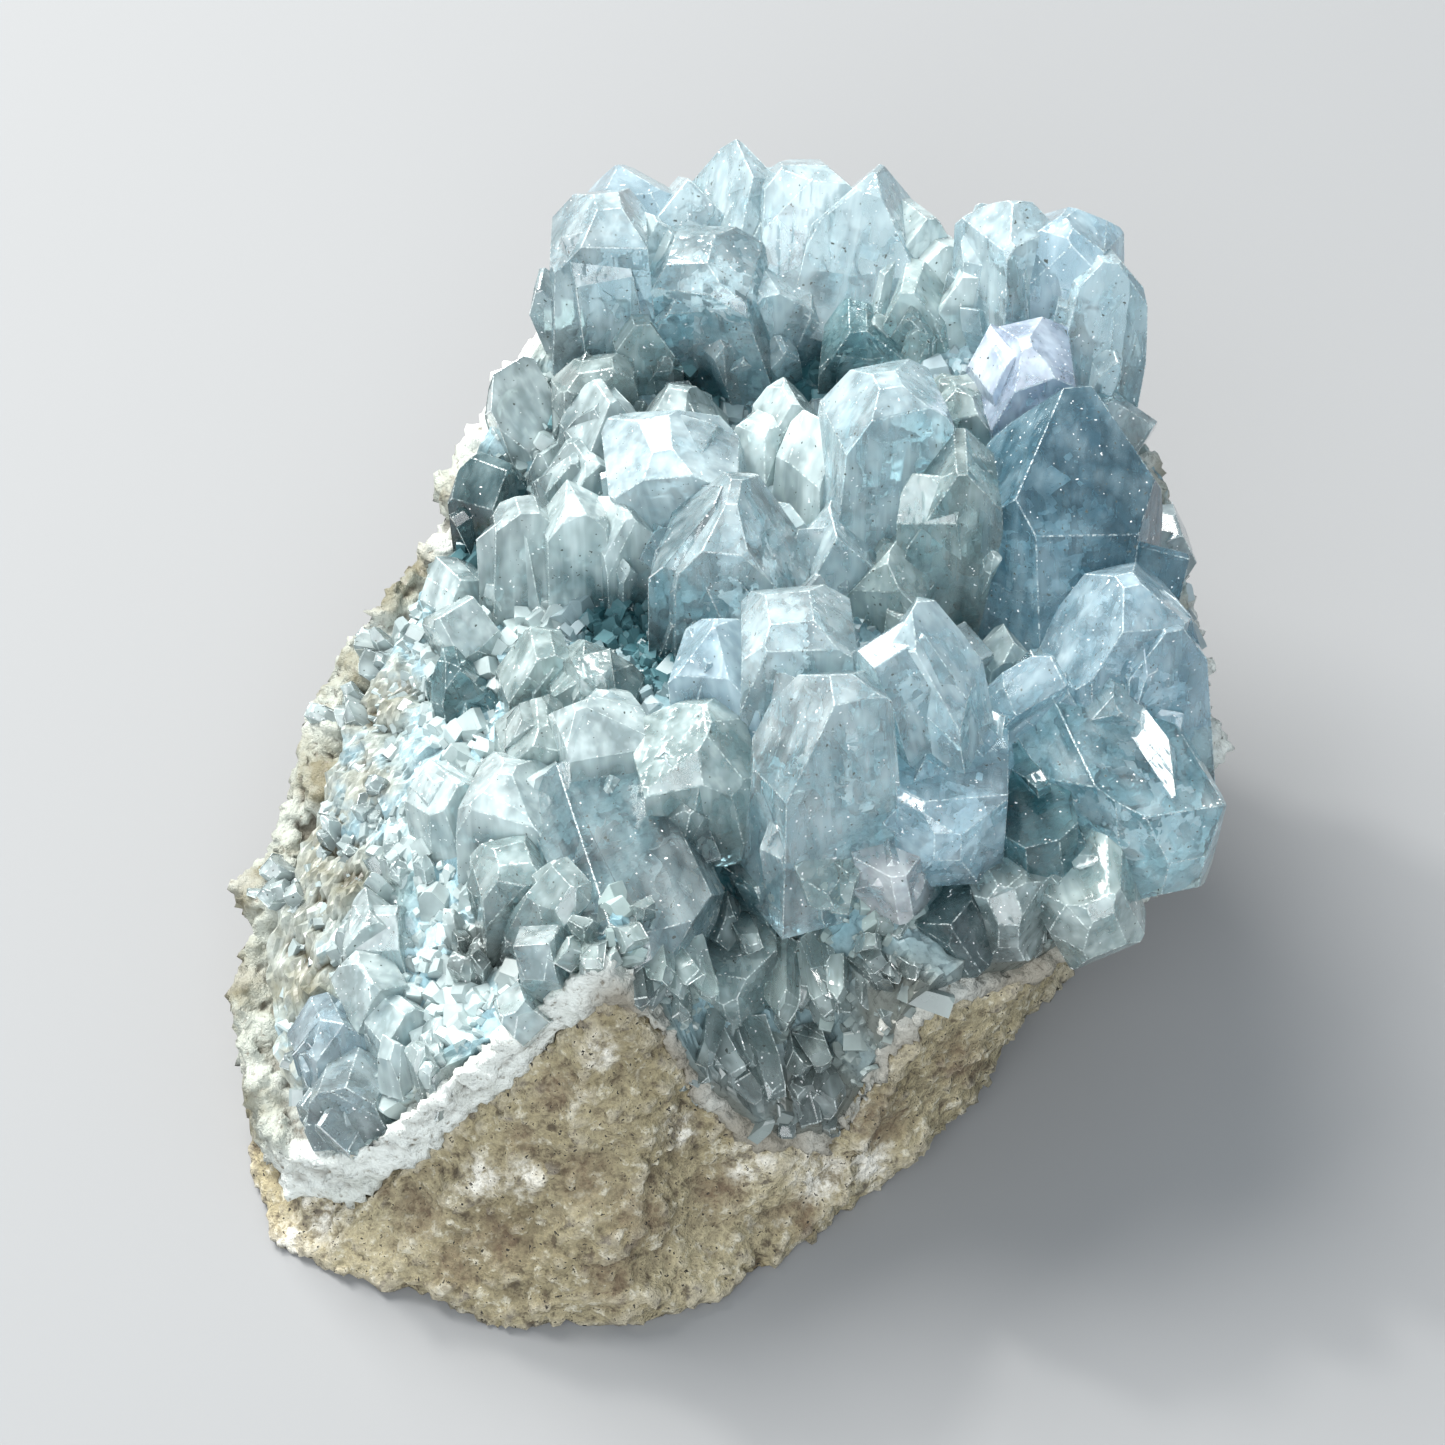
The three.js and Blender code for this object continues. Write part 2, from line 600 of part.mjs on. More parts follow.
// The lumps along the rim of the seam. Grown by a clearance, they cut what lies on them.
function rimLumps(grown = 0) {
  const random = randomFrom(23);
  const lumps = [];
  for (const [from, to, step, small, large, inside] of LUMPY_RIM) {
    for (let degrees = from; degrees < to; degrees += step) {
      const angle = THREE.MathUtils.degToRad(degrees + (random() - 0.5) * step);
      const radius = small + (large - small) * random() ** 2;
      const out = rimRadius(angle) - random() * inside;
      const [x, y] = [Math.cos(angle) * out, Math.sin(angle) * out];
      const z = crustHeight(x, y) - CRUST_BED * (0.3 + random());
      lumps.push(toSolid(lumpGeometry(radius + grown, random).translate(x, y, z)));
    }
  }
  return lumps;
}

// The room outside a flat break, a wide slab that stands on the wall's slope.
function breakGeometry([degrees, height, reach, turn, tilt]) {
  const angle = THREE.MathUtils.degToRad(degrees);
  const top = rimHeight(angle) - rockDepth(angle);
  const wall = THREE.MathUtils.lerp(baseRadius(angle), rimRadius(angle), height / top);
  const slope = Math.atan2(baseRadius(angle) - rimRadius(angle), top);
  const room = new THREE.BoxGeometry(BREAK_SIZE, BREAK_SIZE, BREAK_SIZE * 0.8);
  room.translate(BREAK_SIZE / 2 - reach, 0, 0);
  room.rotateY(-slope + THREE.MathUtils.degToRad(tilt));
  room.rotateZ(angle + THREE.MathUtils.degToRad(turn));
  return room.translate(Math.cos(angle) * wall, Math.sin(angle) * wall, height);
}

const rock = BREAKS.reduce(
  (solid, row) => solid.subtract(toSolid(breakGeometry(row))),
  toSolid(rockGeometry()),
);
const rockRoom = toSolid(rockGeometry(CLEARANCE));
addPiece("host_rock", toGeometry(largest(rock.simplify(SMALLEST_DETAIL))), rockMaterial);

const seamTop = () => CRUST_BED;
const seamBottom = (angle) => CRUST_BED + seamThickness(angle) + BURIED;
const joined = (solid, others) => others.reduce((sum, other) => sum.add(other), solid);
const seamLayer = toSolid(layerGeometry(seamTop, seamBottom, 0.6, lipHeight));
const seam = joined(seamLayer, rimLumps()).subtract(rockRoom).simplify(SMALLEST_DETAIL);
const grownTop = () => CRUST_BED - CLEARANCE;
const grownLayer = toSolid(layerGeometry(grownTop, seamBottom, 0.6 + CLEARANCE, lipHeight));
const seamRoom = joined(grownLayer, rimLumps(CLEARANCE * 1.4));
addPiece("white_seam", toGeometry(largest(seam)), seamMaterial);

const noticed = [];
const crystals = CRYSTALS.map(([c, r, footColumn, footRow, slope, ...shape], i) => {
  const { foot, tip } = standing(c, r, footColumn, footRow, slope);
  const random = randomFrom(101 + i);
  random();
  noticed.push({ line: new THREE.Line3(foot, tip), half: shape[1] / 2 });
  return toSolid(placed(foot, tip, ...shape, random));
});
const bed = toSolid(layerGeometry(() => 0, () => CRUST_BED + BURIED, 0));
const grown = joined(bed, [...crystals, ...fillers(noticed).map(toSolid)]);
const crust = grown.subtract(seamRoom).subtract(rockRoom).simplify(SMALLEST_DETAIL);
addPiece("crystal_crust", toGeometry(largest(crust)), crystalMaterial);

export default group;
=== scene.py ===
# %% [markdown]
# # A celestite crystal cluster
#
# This lesson dresses a packed CAD model as a hand-sized mineral specimen: a chunk of grey-tan rock
# that rests on its flat underside, a white sugary seam over it, and a crowded crust of pale blue
# celestite crystals. The CAD model gives the sizes and the places. Blender gives what a maker sees
# up close: clear crystal with edges that catch the light, a floor of tiny crystals between the big
# ones, and stone with grains, pits and stains.
#
# Everything is made in code from a few named numbers, so that a change of mind is one edit away.

# %% Tools and the frame
import math

import bmesh
import bpy
import numpy as np
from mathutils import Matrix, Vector
from mathutils.kdtree import KDTree
from mathutils.noise import noise as waves_at


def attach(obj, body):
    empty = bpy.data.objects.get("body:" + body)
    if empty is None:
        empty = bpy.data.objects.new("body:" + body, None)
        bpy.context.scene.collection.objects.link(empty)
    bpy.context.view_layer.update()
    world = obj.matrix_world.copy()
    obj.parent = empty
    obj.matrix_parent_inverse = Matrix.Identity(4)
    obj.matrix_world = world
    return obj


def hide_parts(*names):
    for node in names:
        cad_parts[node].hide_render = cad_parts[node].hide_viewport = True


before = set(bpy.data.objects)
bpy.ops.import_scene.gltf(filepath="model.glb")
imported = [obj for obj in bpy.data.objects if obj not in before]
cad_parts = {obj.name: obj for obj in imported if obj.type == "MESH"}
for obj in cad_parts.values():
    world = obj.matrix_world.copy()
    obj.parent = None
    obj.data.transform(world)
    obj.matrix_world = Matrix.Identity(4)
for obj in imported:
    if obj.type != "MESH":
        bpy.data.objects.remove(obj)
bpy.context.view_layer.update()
MM = 0.001
print("CAD nodes:", sorted(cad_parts))

# %% [markdown]
# ## The camera comes first
#
# The crystals were laid out as a viewer sees them, so the camera's place is part of the model's
# recipe. It looks along +Y from 50 degrees above the table, from about 33 cm away, with a long
# lens, to look down into the crystals. A long lens keeps the far crystals nearly as large as the
# near ones.

# %% Camera
VIEW_ELEVATION = math.radians(50)
VIEW_DISTANCE = 330.0
VIEW_TARGET = np.array([0.0, 0.0, 24.0])
PICTURE_SIZE = 1445
PICTURE_CENTRE = PICTURE_SIZE / 2
FOCAL_PIXELS = 4290.0

RIGHT = np.array([1.0, 0.0, 0.0])
UP = np.array([0.0, math.sin(VIEW_ELEVATION), math.cos(VIEW_ELEVATION)])
INTO = np.array([0.0, math.cos(VIEW_ELEVATION), -math.sin(VIEW_ELEVATION)])
EYE = VIEW_TARGET - INTO * VIEW_DISTANCE


def place_camera():
    lens = bpy.data.cameras.new("view")
    lens.sensor_width = 36.0
    lens.lens = FOCAL_PIXELS / PICTURE_SIZE * lens.sensor_width
    lens.clip_start = 0.01
    lens.clip_end = 10.0
    camera = bpy.data.objects.new("view", lens)
    bpy.context.scene.collection.objects.link(camera)
    camera.location = Vector(EYE * MM)
    camera.rotation_mode = "QUATERNION"
    camera.rotation_quaternion = Vector(INTO).to_track_quat("-Z", "Y")
    bpy.context.scene.camera = camera
    return camera


camera = place_camera()
print("camera at", [round(v, 3) for v in camera.location], "lens", round(camera.data.lens, 1), "mm")

# %% [markdown]
# ## The ground the crystals grow on
#
# On the real piece the crystals line a curved wall. Its outline and height could be sculpted by
# hand, but the same short table of directions serves the CAD source and this scene, so both agree
# to the hair. For each direction round the middle it gives the rim's radius and height. The crust
# is a smooth dome between the middle and the rim, with a few hollows.

# %% Outline and height of the crust, in millimetres
CRUST_CENTRE_HEIGHT = 31.0
DOME_POWER = 1.7
RIM_INSET = 2.5
OUTLINE = np.array([
    [8, 36.5, 28], [18, 38.0, 29], [27, 38.5, 31], [41, 39.5, 36], [54, 39.5, 39],
    [69, 36.5, 39], [80, 37.0, 38], [91, 37.5, 38], [106, 38.0, 37], [115, 35.5, 35],
    [130, 32.0, 30], [141, 29.5, 26], [151, 30.0, 23], [161, 31.0, 21], [172, 31.5, 19],
    [182, 32.5, 18], [196, 36.5, 15], [205, 40.0, 12], [214, 43.0, 10], [222, 44.5, 9],
    [228, 42.0, 11], [234, 38.5, 17], [241, 34.5, 23], [247, 32.0, 28], [253, 30.5, 32],
    [260, 29.5, 29], [267, 29.5, 19], [275, 30.5, 14], [286, 30.5, 12], [292, 31.0, 20],
    [298, 30.5, 27], [307, 31.0, 26], [316, 32.0, 25], [328, 34.5, 25], [338, 37.0, 26],
    [351, 36.5, 26],
])
SWELLS = [
    [3, 26, 8, -4], [-5, 8, 5, -3], [1, -17, 6, -4], [-18, 18, 5, -3],
    [20, -18, 5, -3], [8, 12, 9, 2], [24, 24, 8, 2],
]


def outline_at(angle, column):
    return np.interp(np.degrees(angle) % 360, OUTLINE[:, 0], OUTLINE[:, column], period=360)


def rim_radius(angle):
    return outline_at(angle, 1)


def rim_height(angle):
    return outline_at(angle, 2)


def crust_height(x, y):
    angle = np.arctan2(y, x)
    share = np.minimum(np.hypot(x, y) / rim_radius(angle), 1) ** DOME_POWER
    level = CRUST_CENTRE_HEIGHT + (rim_height(angle) - CRUST_CENTRE_HEIGHT) * share
    for sx, sy, radius, rise in SWELLS:
        level = level + rise * np.exp(-((x - sx) ** 2 + (y - sy) ** 2) / radius**2)
    return level


print("crust height in the middle:", round(float(crust_height(0, 0)), 1), "mm")

# %% [markdown]
# ## One crystal is a few flat cuts
#
# A celestite crystal is a box with sloping ends, and the neatest way to describe it is as what is
# left of a block after a set of flat cuts, the way a gem cutter works. Modelling each crystal by
# hand would take days, and booleans with boxes would be slower. A cut with Blender's bisect tool
# leaves an exact flat face, which is what makes a crystal look like a crystal.
#
# The chances that vary one crystal from the next come from a tiny number generator, the same one
# that the CAD source uses, so the same crystals come out here.

# %% The cuts of one crystal
FORMS = {
    "wedge": (52, 38, 0.12),
    "block": (46, 33, 0.3),
    "point": (60, 56, 0.0),
    "chisel": (58, 24, 0.05),
}
PRISM_CORNER = math.radians(38)
TAPER = math.radians(2.5)
SIDE_TURN = math.radians(7)
END_TILT = 11
ROOT = 2.5
CUT_CORNERS_FROM = 9
CUT_ENDS_FROM = 6.4


def chances(seed):
    state = seed
    while True:
        state = (state * 1664525 + 1013904223) % 4294967296
        yield state / 4294967296


def crystal_cuts(length, width, depth, form, draw):
    slope_u, slope_v, flat = FORMS[form]
    cuts = [(0, 0, 1, 0), (0, 0, -1, length + ROOT)]

    def vary(amount):
        return (next(draw) - 0.5) * 2 * amount

    def side(x, y, half):
        lean = TAPER * (1 + vary(1))
        turn = vary(SIDE_TURN)
        out_x = x * math.cos(turn) - y * math.sin(turn)
        out_y = x * math.sin(turn) + y * math.cos(turn)
        level = math.cos(lean)
        cuts.append((out_x * level, out_y * level, math.sin(lean), half * level))

    def end(x, y, half, slope):
        tilt = math.radians(slope + vary(END_TILT))
        reach = math.sin(tilt) * half * max(flat + vary(0.34), 0)
        cuts.append((x * math.sin(tilt), y * math.sin(tilt), math.cos(tilt), reach))

    for sign in (1, -1):
        side(sign, 0, width / 2)
        side(0, sign, depth / 2)
        end(sign, 0, width / 2, slope_u)
        if width > CUT_ENDS_FROM:
            end(0, sign, depth / 2, slope_v)
        for other in (1, -1) if width > CUT_CORNERS_FROM else ():
            x = sign * math.cos(PRISM_CORNER)
            y = other * math.sin(PRISM_CORNER)
            reach = (abs(x) * width + abs(y) * depth) / 2
            cuts.append((x, y, 0, reach * (0.88 + vary(0.07))))
    return cuts


print("kinds of ending:", ", ".join(FORMS))

# %% [markdown]
# ## Cutting the block
#
# The main cuts give the shape that the CAD solid has. Real crystals also have chips, and small
# extra faces on nearly every corner. Those are shaved off at the end: each takes a thin slice
# from whatever stands out furthest in some direction, so the shape never grows. Clear crystals get
# few thin slices, and the milky and grey ones get more and thicker ones, because they look broken.

# %% A shell from its cuts
CLEAN_CHIPS = (5, 0.13)
ROUGH_CHIPS = (9, 0.20)
DRUSE_CHIPS = (3, 0.25)
UNCUT_BLOCK = 120
CUT_TOLERANCE = 1e-5
WELD = 0.16
SLIVER = 0.02


def slice_off(bm, normal, distance):
    everything = list(bm.verts) + list(bm.edges) + list(bm.faces)
    made = bmesh.ops.bisect_plane(
        bm, geom=everything, dist=CUT_TOLERANCE, plane_co=normal * distance, plane_no=normal,
        clear_outer=True,
    )
    rim = [part for part in made["geom_cut"] if isinstance(part, bmesh.types.BMEdge)]
    if len(rim) > 2:
        bmesh.ops.edgeloop_fill(bm, edges=rim)


def face_outward(bm):
    bmesh.ops.recalc_face_normals(bm, faces=bm.faces)
    if bm.calc_volume(signed=True) < 0:
        bmesh.ops.reverse_faces(bm, faces=bm.faces)


def cut_block(cuts, width, extra, chips=CLEAN_CHIPS):
    number, thickest = chips
    bm = bmesh.new()
    bmesh.ops.create_cube(bm, size=UNCUT_BLOCK)
    for x, y, z, distance in cuts:
        slice_off(bm, Vector((x, y, z)), distance)
    for _ in range(number):
        turn = next(extra) * 2 * math.pi
        rise = next(extra) * 1.15 - 0.25
        flat = math.sqrt(max(1 - rise * rise, 0.05))
        way = Vector((math.cos(turn) * flat, math.sin(turn) * flat, rise)).normalized()
        furthest = max(way.dot(v.co) for v in bm.verts)
        slice_off(bm, way, furthest - width * thickest * next(extra) ** 1.5)
    bmesh.ops.remove_doubles(bm, verts=bm.verts, dist=WELD)
    bmesh.ops.dissolve_degenerate(bm, dist=SLIVER, edges=bm.edges)
    face_outward(bm)
    return bm


sample = cut_block(crystal_cuts(12, 9, 7, "block", chances(1)), 9, chances(2))
print("a sample crystal has", len(sample.verts), "corners and", len(sample.faces), "faces")
print("it is closed:", all(edge.is_manifold for edge in sample.edges))
sample.free()

# %% [markdown]
# ## The crystals a viewer notices
#
# Each row is one crystal as the viewer sees it: where its tip and its foot appear, how much it
# leans out towards the viewer, its width, depth and roll, its kind of ending, and its look. A
# scatter tool could place crystals faster, but then none would stand where the real ones do. The
# looks differ a lot on one specimen: some crystals are clear as ice, some milky, one is a deep
# steel blue.

# %% Layout of the noticed crystals
CRYSTALS = [
    (620, 170, 625, 235, 35, 7.5, 6, 20, "wedge", "blue"),
    (733, 140, 738, 225, 30, 7.5, 6.5, 45, "point", "pale"),
    (684, 182, 686, 240, 35, 6, 5, 10, "wedge", "pale"),
    (768, 172, 768, 225, 38, 5, 4.5, 35, "wedge", "pale"),
    (806, 170, 812, 245, 38, 7, 6, 8, "block", "pale"),
    (880, 176, 872, 265, 38, 8.5, 7, -15, "block", "pale"),
    (800, 252, 796, 212, 66, 11, 7.5, -31, "block", "pale"),
    (910, 214, 905, 275, 42, 5.5, 5, 25, "wedge", "milky"),
    (562, 232, 575, 285, 35, 4.5, 4, 40, "block", "milky"),
    (600, 214, 606, 330, 42, 7.5, 7, 8, "block", "pale"),
    (645, 212, 646, 300, 40, 5.5, 5, 30, "wedge", "milky"),
    (692, 256, 724, 345, 46, 9, 7.5, -12, "block", "clear"),
    (768, 282, 774, 350, 46, 6, 5, 20, "wedge", "pale"),
    (643, 310, 640, 362, 42, 5, 5, 12, "wedge", "grey"),
    (905, 282, 915, 338, 48, 5.5, 4, -15, "chisel", "grey"),
    (942, 240, 945, 285, 42, 5, 4.5, 20, "block", "milky"),
    (978, 264, 980, 320, 42, 5.5, 5, -10, "wedge", "milky"),
    (1016, 204, 1018, 330, 34, 7.5, 6.5, 32, "wedge", "pale"),
    (1064, 218, 1076, 345, 35, 7, 7, -20, "block", "blue"),
    (1102, 256, 1098, 370, 36, 6, 6, 15, "block", "pale"),
    (860, 322, 862, 368, 50, 6, 4.5, 0, "wedge", "teal"),
    (590, 372, 600, 420, 48, 6.5, 4.5, 5, "block", "grey"),
    (1012, 350, 1036, 425, 56, 7, 6, 10, "block", "lilac"),
    (1066, 398, 1062, 620, 30, 12.5, 10, 12, "point", "steel"),
    (885, 382, 882, 525, 40, 8.2, 7, 15, "block", "pale"),
    (962, 388, 966, 445, 45, 5.5, 5, -8, "wedge", "grey"),
    (790, 395, 790, 465, 44, 4.5, 4, 20, "wedge", "milky"),
    (816, 422, 816, 500, 42, 4.2, 4, 45, "point", "milky"),
    (762, 425, 760, 480, 46, 4.5, 3.5, 60, "wedge", "milky"),
    (612, 398, 610, 462, 44, 5.5, 5, 25, "wedge", "milky"),
    (684, 390, 682, 445, 42, 7, 4.5, -12, "chisel", "milky"),
    (664, 438, 690, 515, 52, 10, 7.5, 4, "block", "pale"),
    (582, 452, 576, 506, 44, 5, 4.5, 35, "wedge", "milky"),
    (736, 502, 730, 618, 46, 11, 8.5, -8, "block", "clear"),
    (528, 502, 525, 598, 36, 4.8, 4.2, 12, "block", "milky"),
    (576, 502, 576, 588, 46, 4.6, 4.2, 8, "block", "milky"),
    (621, 505, 622, 580, 46, 4.6, 4, 30, "wedge", "milky"),
    (490, 465, 500, 535, 36, 5, 4.5, 50, "wedge", "teal"),
    (832, 522, 836, 588, 46, 6, 5, 10, "wedge", "pale"),
    (950, 458, 945, 596, 40, 6.2, 6, 0, "wedge", "grey"),
    (890, 548, 902, 612, 48, 6, 5, -30, "chisel", "grey"),
    (716, 628, 742, 748, 42, 6.5, 5.5, -10, "wedge", "blue"),
    (696, 658, 716, 745, 36, 3.4, 5, 0, "chisel", "rose"),
    (796, 610, 802, 735, 46, 8, 6.5, 6, "block", "clear"),
    (818, 668, 832, 868, 34, 8.2, 7, 24, "wedge", "clear"),
    (905, 615, 934, 765, 46, 7.5, 6, -24, "wedge", "pale"),
    (1050, 668, 990, 730, 42, 4.5, 3.4, 30, "chisel", "blue"),
    (1006, 634, 1006, 672, 46, 4.2, 3.6, 20, "wedge", "milky"),
    (1112, 578, 1106, 715, 40, 9.5, 8, 22, "wedge", "blue"),
    (1144, 612, 1150, 745, 34, 6.2, 6.5, 12, "wedge", "blue"),
    (590, 652, 596, 706, 44, 6, 5, -10, "wedge", "grey"),
    (536, 644, 540, 700, 42, 5, 4.5, 10, "block", "grey"),
    (602, 702, 606, 786, 46, 6.5, 6, 22, "block", "milky"),
    (540, 716, 542, 780, 46, 5.5, 5, 5, "wedge", "grey"),
    (516, 766, 522, 842, 44, 7, 6, -15, "block", "milky"),
    (692, 728, 700, 805, 52, 8.5, 7, 12, "block", "grey"),
    (448, 770, 456, 826, 36, 5, 4.5, 40, "wedge", "milky"),
    (458, 655, 470, 700, 34, 5, 4, 10, "chisel", "teal"),
    (1152, 868, 1076, 714, 40, 10.8, 8.6, -6, "block", "clear"),
    (944, 852, 942, 764, 58, 7.8, 7, 0, "block", "blue"),
    (1040, 866, 1020, 796, 52, 5, 5, 8, "block", "teal"),
    (822, 890, 832, 826, 52, 6, 5, 20, "block", "grey"),
    (902, 896, 890, 852, 62, 5.5, 4, 10, "chisel", "rose"),
    (672, 968, 604, 822, 36, 11.5, 7.6, -8, "block", "glassy"),
    (520, 852, 524, 915, 46, 6, 5, 15, "block", "grey"),
    (576, 876, 560, 930, 46, 4.5, 4, 40, "wedge", "grey"),
    (466, 900, 476, 955, 40, 5.5, 4.5, 0, "wedge", "grey"),
    (770, 906, 764, 865, 56, 4.5, 4, 15, "wedge", "teal"),
    (1008, 930, 1004, 872, 60, 6.5, 6, 0, "block", "grey"),
    (1098, 934, 1080, 878, 52, 7, 6, 20, "block", "grey"),
    (1056, 962, 1042, 905, 54, 5.5, 5, -10, "wedge", "grey"),
    (958, 948, 950, 905, 60, 5.5, 5, 30, "wedge", "teal"),
    (740, 1008, 732, 952, 46, 6, 5, 8, "block", "grey"),
    (684, 1040, 668, 985, 30, 4.8, 4.2, 20, "block", "grey"),
    (836, 1052, 824, 972, 32, 6, 5, -8, "block", "grey"),
    (886, 1030, 874, 978, 44, 4.5, 4, 25, "wedge", "grey"),
    (732, 1112, 724, 1048, 40, 5.5, 5, 0, "wedge", "grey"),
    (818, 1140, 806, 1076, 40, 6, 5, 30, "block", "grey"),
    (432, 1012, 432, 1072, 38, 6, 4.5, 5, "block", "milky"),
    (395, 1000, 398, 1040, 38, 4, 3.5, 40, "wedge", "milky"),
    (330, 1008, 338, 1050, 34, 6, 4.5, 20, "block", "blue"),
    (336, 1068, 350, 1104, 36, 6, 4.5, -10, "block", "pale"),
    (372, 900, 380, 950, 36, 5, 4, 10, "wedge", "milky"),
    (392, 826, 402, 870, 34, 4.5, 4, 30, "wedge", "milky"),
]
print(len(CRYSTALS), "crystals are placed one by one")

# %% [markdown]
# ## From the view to the crust
#
# Here each row turns into a real place. A line of sight runs from the camera through the foot's
# place in the view, in short steps, until it goes under the crust. The tip follows from the foot,
# from its own place in the view and from the lean. Each crystal keeps its own axes too, so that its
# inside can follow them later. Feet placed by hand would have to be moved with each new hollow.

# %% From a place in the view to a place on the crust
FIRST_STEP = VIEW_DISTANCE * 0.75
STEP = 0.5


def seen_at(column, row):
    sight = INTO * FOCAL_PIXELS + RIGHT * (column - PICTURE_CENTRE) + UP * (PICTURE_CENTRE - row)
    sight = sight / np.linalg.norm(sight)
    distance = FIRST_STEP
    p = EYE + sight * distance
    while p[2] > crust_height(p[0], p[1]):
        distance += STEP
        p = EYE + sight * distance
    return p


def shown_at(points):
    away = np.asarray(points) - EYE
    depth = away @ INTO
    column = PICTURE_CENTRE + away @ RIGHT / depth * FOCAL_PIXELS
    row = PICTURE_CENTRE - away @ UP / depth * FOCAL_PIXELS
    return column, row


def standing(tip_column, tip_row, foot_column, foot_row, slope):
    foot = seen_at(foot_column, foot_row)
    distance = (foot - EYE) @ INTO
    right = (tip_column - foot_column) * distance / FOCAL_PIXELS
    up = (foot_row - tip_row) * distance / FOCAL_PIXELS
    nearer = math.hypot(right, up) * math.tan(math.radians(slope))
    tip = foot + RIGHT * right + UP * up - INTO * nearer
    most = rim_radius(math.atan2(foot[1], foot[0])) - RIM_INSET
    out = math.hypot(foot[0], foot[1])
    if out > most:
        foot = np.array([foot[0] * most / out, foot[1] * most / out, 0.0])
        foot[2] = crust_height(foot[0], foot[1])
    return foot, tip


print("the first crystal stands at", standing(*CRYSTALS[0][:5])[0].round(1), "mm")


# %% Crystals in their places
class Crystal:
    """One crystal: its cuts, its place and its own axes in the frame, in millimetres."""

    def __init__(self, foot, tip, width, depth, roll, form, look, draw):
        axis = tip - foot
        length = np.linalg.norm(axis)
        axis = axis / length
        across = RIGHT - axis * axis[0]
        across = across / np.linalg.norm(across)
        along = np.cross(axis, across)
        turn = math.radians(roll)
        side_u = across * math.cos(turn) + along * math.sin(turn)
        side_v = along * math.cos(turn) - across * math.sin(turn)
        self.basis = np.array([side_u, side_v, axis])
        self.foot, self.tip, self.look = foot, tip, look
        self.length, self.width, self.depth = length, width, depth
        self.cuts = crystal_cuts(length, width, depth, form, draw)
        normals = np.array(self.cuts)[:, :3] @ self.basis
        self.planes = np.column_stack([normals, np.array(self.cuts)[:, 3] + normals @ tip])

    def holds(self, points, margin=0.0):
        return (points @ self.planes[:, :3].T < self.planes[:, 3] - margin).all(axis=1)


noticed = []
for i, (*seen, width, depth, roll, form, look) in enumerate(CRYSTALS):
    foot, tip = standing(*seen)
    draw = chances(101 + i)
    next(draw)  # The CAD source skips its first chance too.
    noticed.append(Crystal(foot, tip, width, depth, roll, form, look, draw))
lengths = [c.length for c in noticed]
print("their lengths run from", round(min(lengths), 1), "to", round(max(lengths), 1), "mm")

# %% [markdown]
# ## Where the ground changes colour, and where shade is painted
#
# The hollows are painted a deep teal as shade, because light that falls into them passes through much
# crystal before it comes back. The left slope is white and sugary, and the pocket at the front is
# earthy grey, painted darker still as shade. Fine ground is where the crystals are smaller, and shaded
# ground is painted duller than what lies round it, as shade. The patches are circles in the view with
# soft edges, a quick way to paint where a brush would be slower.

# %% Ground colours
# Shaded hollows: painted shade, a deep teal where light fades between the crystals.
SHADED_HOLLOWS = [
    (665, 645, 55), (615, 620, 45), (735, 900, 48), (478, 520, 62), (700, 380, 48), (820, 385, 45),
    (960, 905, 40), (1000, 830, 45), (700, 850, 45), (970, 600, 40), (590, 420, 40), (640, 1010, 30),
]
WHITE_GROUND = [
    (365, 690, 75), (345, 780, 75), (320, 870, 80), (290, 960, 75), (300, 1060, 75), (330, 1140, 65),
    (440, 1110, 50), (500, 300, 90), (445, 390, 55), (560, 235, 60), (1160, 480, 70), (1190, 620, 40),
]
# Earthy ground: the pocket's own grey, painted darker as well for the shadow it lies in.
EARTHY_SHADED_GROUND = [
    (700, 1130, 90), (820, 1120, 90), (900, 1010, 70), (620, 1040, 60), (1010, 960, 70), (488, 950, 32),
]
FINE_GROUND = [(612, 965, 50), (824, 972, 22)]
# Shaded ground: patches painted duller, as shade.
SHADED_GROUND = [(500, 690, 60), (500, 925, 60), (475, 500, 55), (620, 880, 70)]
OUTER_EDGE = 1.5


def patches(points, spots):
    column, row = shown_at(points)
    most = np.zeros(len(points))
    for c, r, size in spots:
        away = np.hypot(column - c, row - r) / size
        most = np.maximum(most, np.clip(OUTER_EDGE - away, 0, 1))
    return most


print(len(SHADED_HOLLOWS), "patches are dark and", len(WHITE_GROUND), "are white")

# %% [markdown]
# ## Small crystals between the big ones
#
# On the real piece hardly a spot is bare: smaller crystals fill the room between the noticed ones.
# They are thrown over the crust on a loose grid, and one whose tip would end inside a big crystal
# is left out. The order of the chances is the CAD source's, so these stand in its places too.

# %% The small crystals
FILLER_PITCH = 8.6
FILLER_CLEARANCE = 1.2
FILLER_RIM = 1.5
FILLED_X = (-40, 40.01)
FILLED_Y = (-40, 42.01)
TEAL_FROM = 0.7
GREY_BELOW_ROW = 860
MILKY_LEFT_OF = 560


def leaning(right, back):
    way = np.array([math.tan(math.radians(right)), math.tan(math.radians(back)), 1.0])
    return way / np.linalg.norm(way)


def gap_to_line(point, start, end):
    along = end - start
    share = np.clip((point - start) @ along / (along @ along), 0, 1)
    return np.linalg.norm(point - start - along * share)


def look_of_ground(foot):
    column, row = shown_at(foot)
    # A small crystal in a shaded hollow takes the darker teal look, as painted shade.
    if patches(foot[None], SHADED_HOLLOWS)[0] > TEAL_FROM:
        return "teal"
    if row > GREY_BELOW_ROW and column > MILKY_LEFT_OF:
        return "grey"
    return "milky" if column < MILKY_LEFT_OF else "pale"


